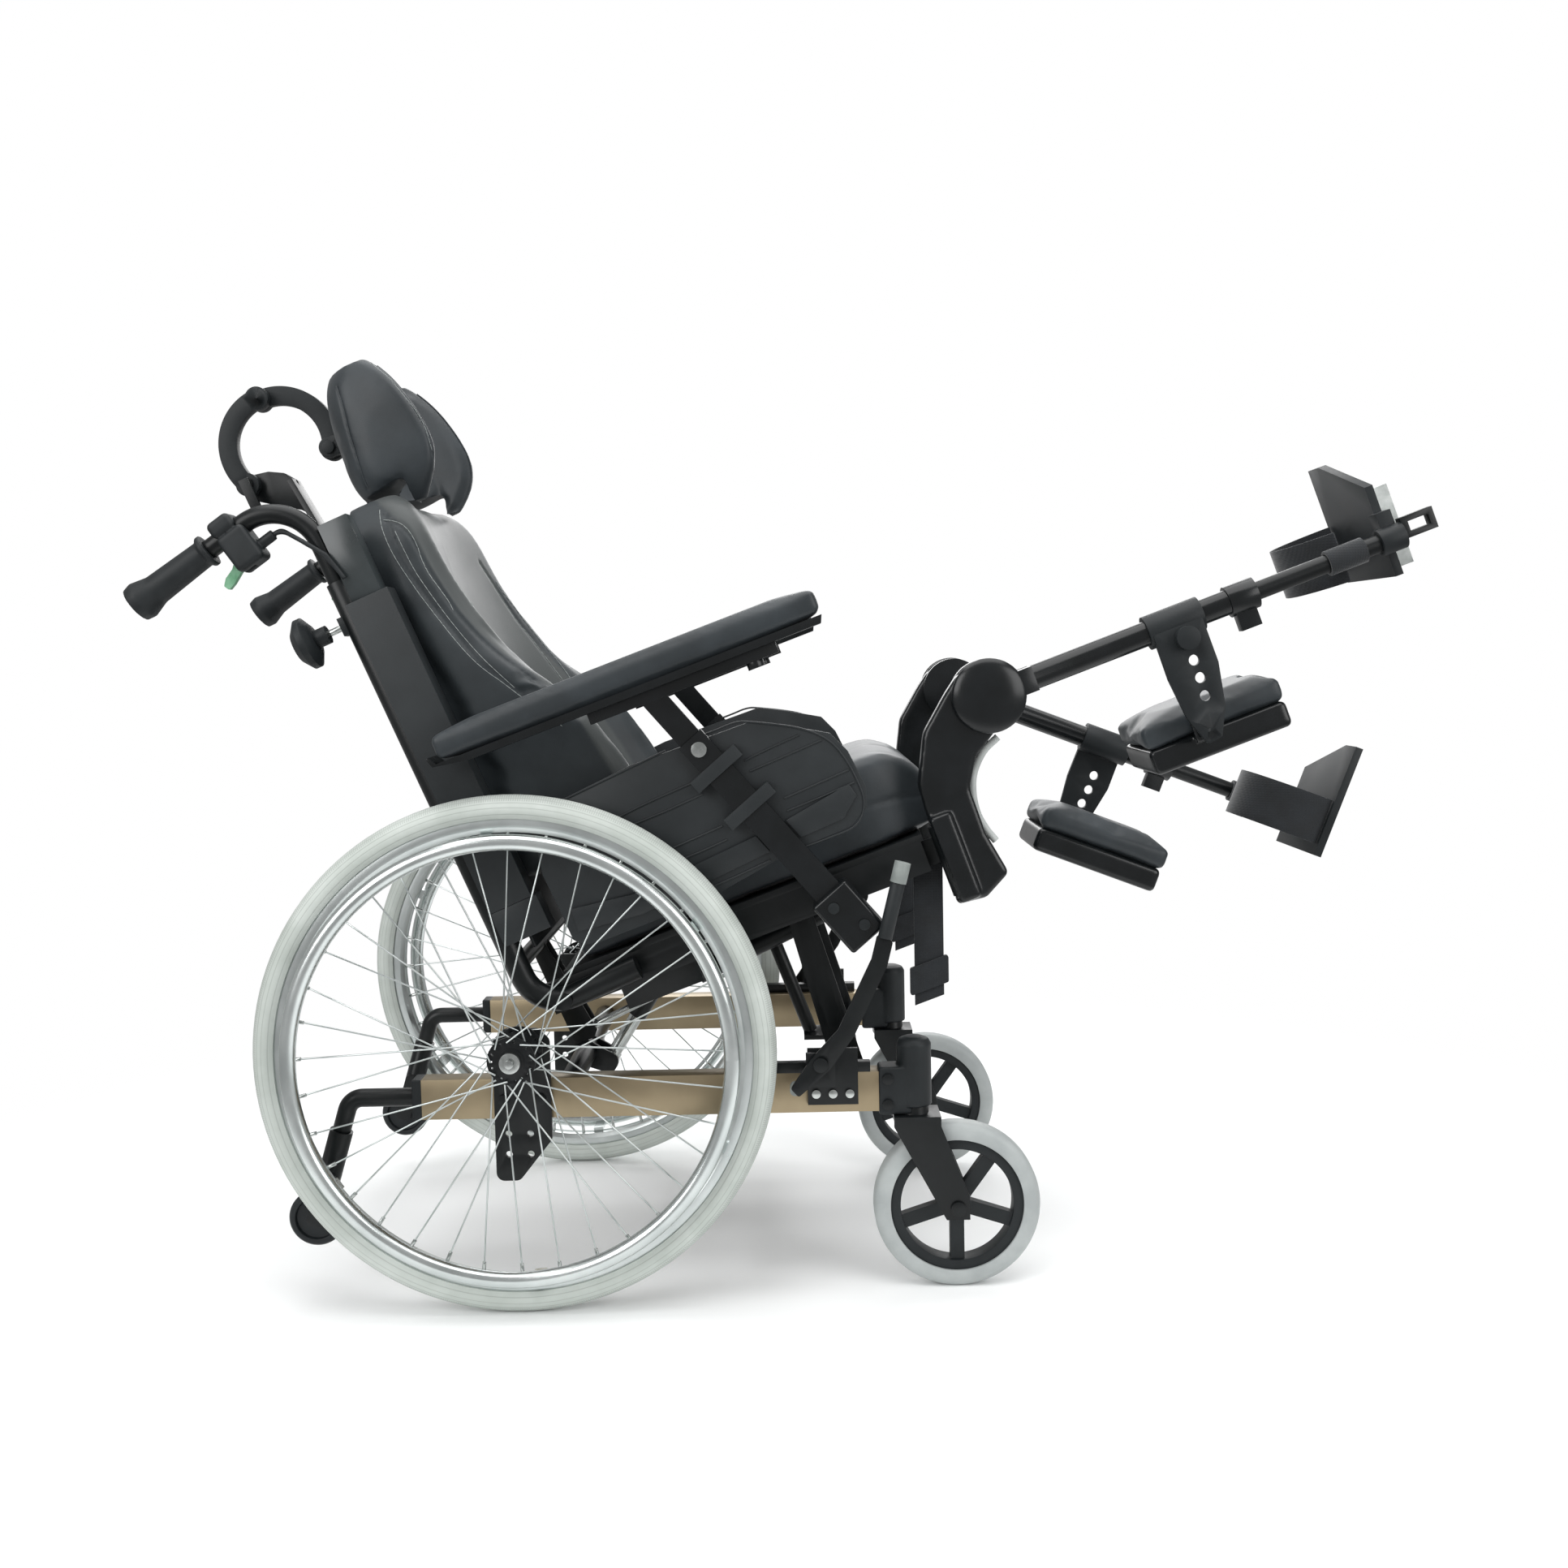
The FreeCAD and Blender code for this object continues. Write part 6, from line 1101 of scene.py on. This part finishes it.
class ChairTrim(bpy.types.Operator):
    """Adds the raised lines of the side panels, the knee covers and the hangers' pale liners"""

    bl_idname = "chair.trim"
    bl_label = "Trim"

    def execute(self, context):
        finishes = context_finishes()
        for side, sign in SIDES.items():
            beads = []
            for number, table in enumerate(PANEL_LINES):
                row = through([at(SEAT, x, sign * 256.2, z) for x, z in table], 0.006)
                beads.append(tube_along(f"panel_line_{number}", row, 0.0013, finishes["panel"]))
            settle(joined("side_panel_lines_" + side, beads), "seat")
            body = "leg_hanger_" + side
            low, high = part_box(body)
            outer = (low if sign < 0 else high)[1] * 1000
            bpy.ops.mesh.primitive_uv_sphere_add(segments=48, ring_count=24, radius=1)
            cover = context.active_object
            cover.name = "knee_cover_" + side
            self.dome(cover, SEAT, (KNEE[0], outer + sign * 0.5, KNEE[1]), (44.5, 10.5, 44.5))
            give(cover, finishes["gloss"])
            settle(cover, "leg_tube_" + side)
            row = through([at(SEAT, x, outer - sign * 26, z) for x, z in LINER_FRONT], 0.004)
            liner = tube_along("hanger_liner_" + side, row, 0.0045, finishes["inner"], 4)
            settle(liner, body)
        return {"FINISHED"}

    def dome(self, piece, place, centre, reach):
        """Turns a unit ball into a low dome in a leaning frame."""
        bpy.ops.object.mode_set(mode="EDIT")
        sheet = bmesh.from_edit_mesh(piece.data)
        for vertex in sheet.verts:
            x, y, z = (c + v * r for c, v, r in zip(centre, vertex.co, reach))
            vertex.co = at(place, x, y, z)
        bmesh.update_edit_mesh(piece.data)
        bpy.ops.object.mode_set(mode="OBJECT")
        bpy.ops.object.shade_smooth()


# The brake cable's route from part.py, in the handle's frame: X, Y outwards and Z.

CABLE_ROUTE = [(70, 223.5, -31), (82, 223.5, -31), (97, 241, -60), (110, 241, -90), (111, 241, -124)]
CABLE_DIAMETER = 0.005


class ChairCables(bpy.types.Operator):
    """Lays the brake cables from the grips' housings to the back's side covers"""

    bl_idname = "chair.cables"
    bl_label = "Brake cables"

    def execute(self, context):
        for side, sign in SIDES.items():
            line = bpy.data.curves.new("brake_cable_" + side, "CURVE")
            line.dimensions = "3D"
            spline = line.splines.new("NURBS")
            spline.points.add(len(CABLE_ROUTE) - 1)
            points = [at(HANDLE, x, sign * y, z) for x, y, z in CABLE_ROUTE]
            for item, point in zip(spline.points, points):
                item.co = (*point, 1)
            spline.order_u = 3
            spline.use_endpoint_u = True
            line.resolution_u = 16
            line.bevel_depth = CABLE_DIAMETER / 2
            line.bevel_resolution = 4
            line.use_fill_caps = True
            cable = bpy.data.objects.new("brake_cable_" + side, line)
            context.scene.collection.objects.link(cable)
            line.materials.append(context_finishes()["grip"])
            settle(cable, "push_handle_" + side, ("handle_grip_" + side,))
        return {"FINISHED"}


class ChairPanel(bpy.types.Panel):
    """Lists the steps that dress the chair"""

    bl_idname = "CHAIR_PT_dress"
    bl_label = "Wheelchair"
    bl_space_type = "VIEW_3D"
    bl_region_type = "UI"
    bl_category = "Wheelchair"

    def draw(self, context):
        settings = context.scene.chair
        for name in ("foam_swell", "stitch_length", "seam_depth", "floor_colour", "lamp_power"):
            self.layout.prop(settings, name)
        for step in STEPS:
            self.layout.operator(step.bl_idname)


STEPS = (ChairStage, ChairCables, ChairMetalwork, ChairBackCushion, ChairSeatCushion, ChairHeadrest,
         ChairArmPads, ChairCalfPads, ChairStraps, ChairTrim)
CLASSES = (ChairSettings,) + STEPS + (ChairPanel,)


def register():
    for item in CLASSES:
        bpy.utils.register_class(item)
    bpy.types.Scene.chair = PointerProperty(type=ChairSettings)


def unregister():
    del bpy.types.Scene.chair
    for item in reversed(CLASSES):
        bpy.utils.unregister_class(item)


def main():
    register()
    for step in STEPS:
        group, name = step.bl_idname.split(".")
        getattr(getattr(bpy.ops, group), name)()


if __name__ == "__main__":
    main()
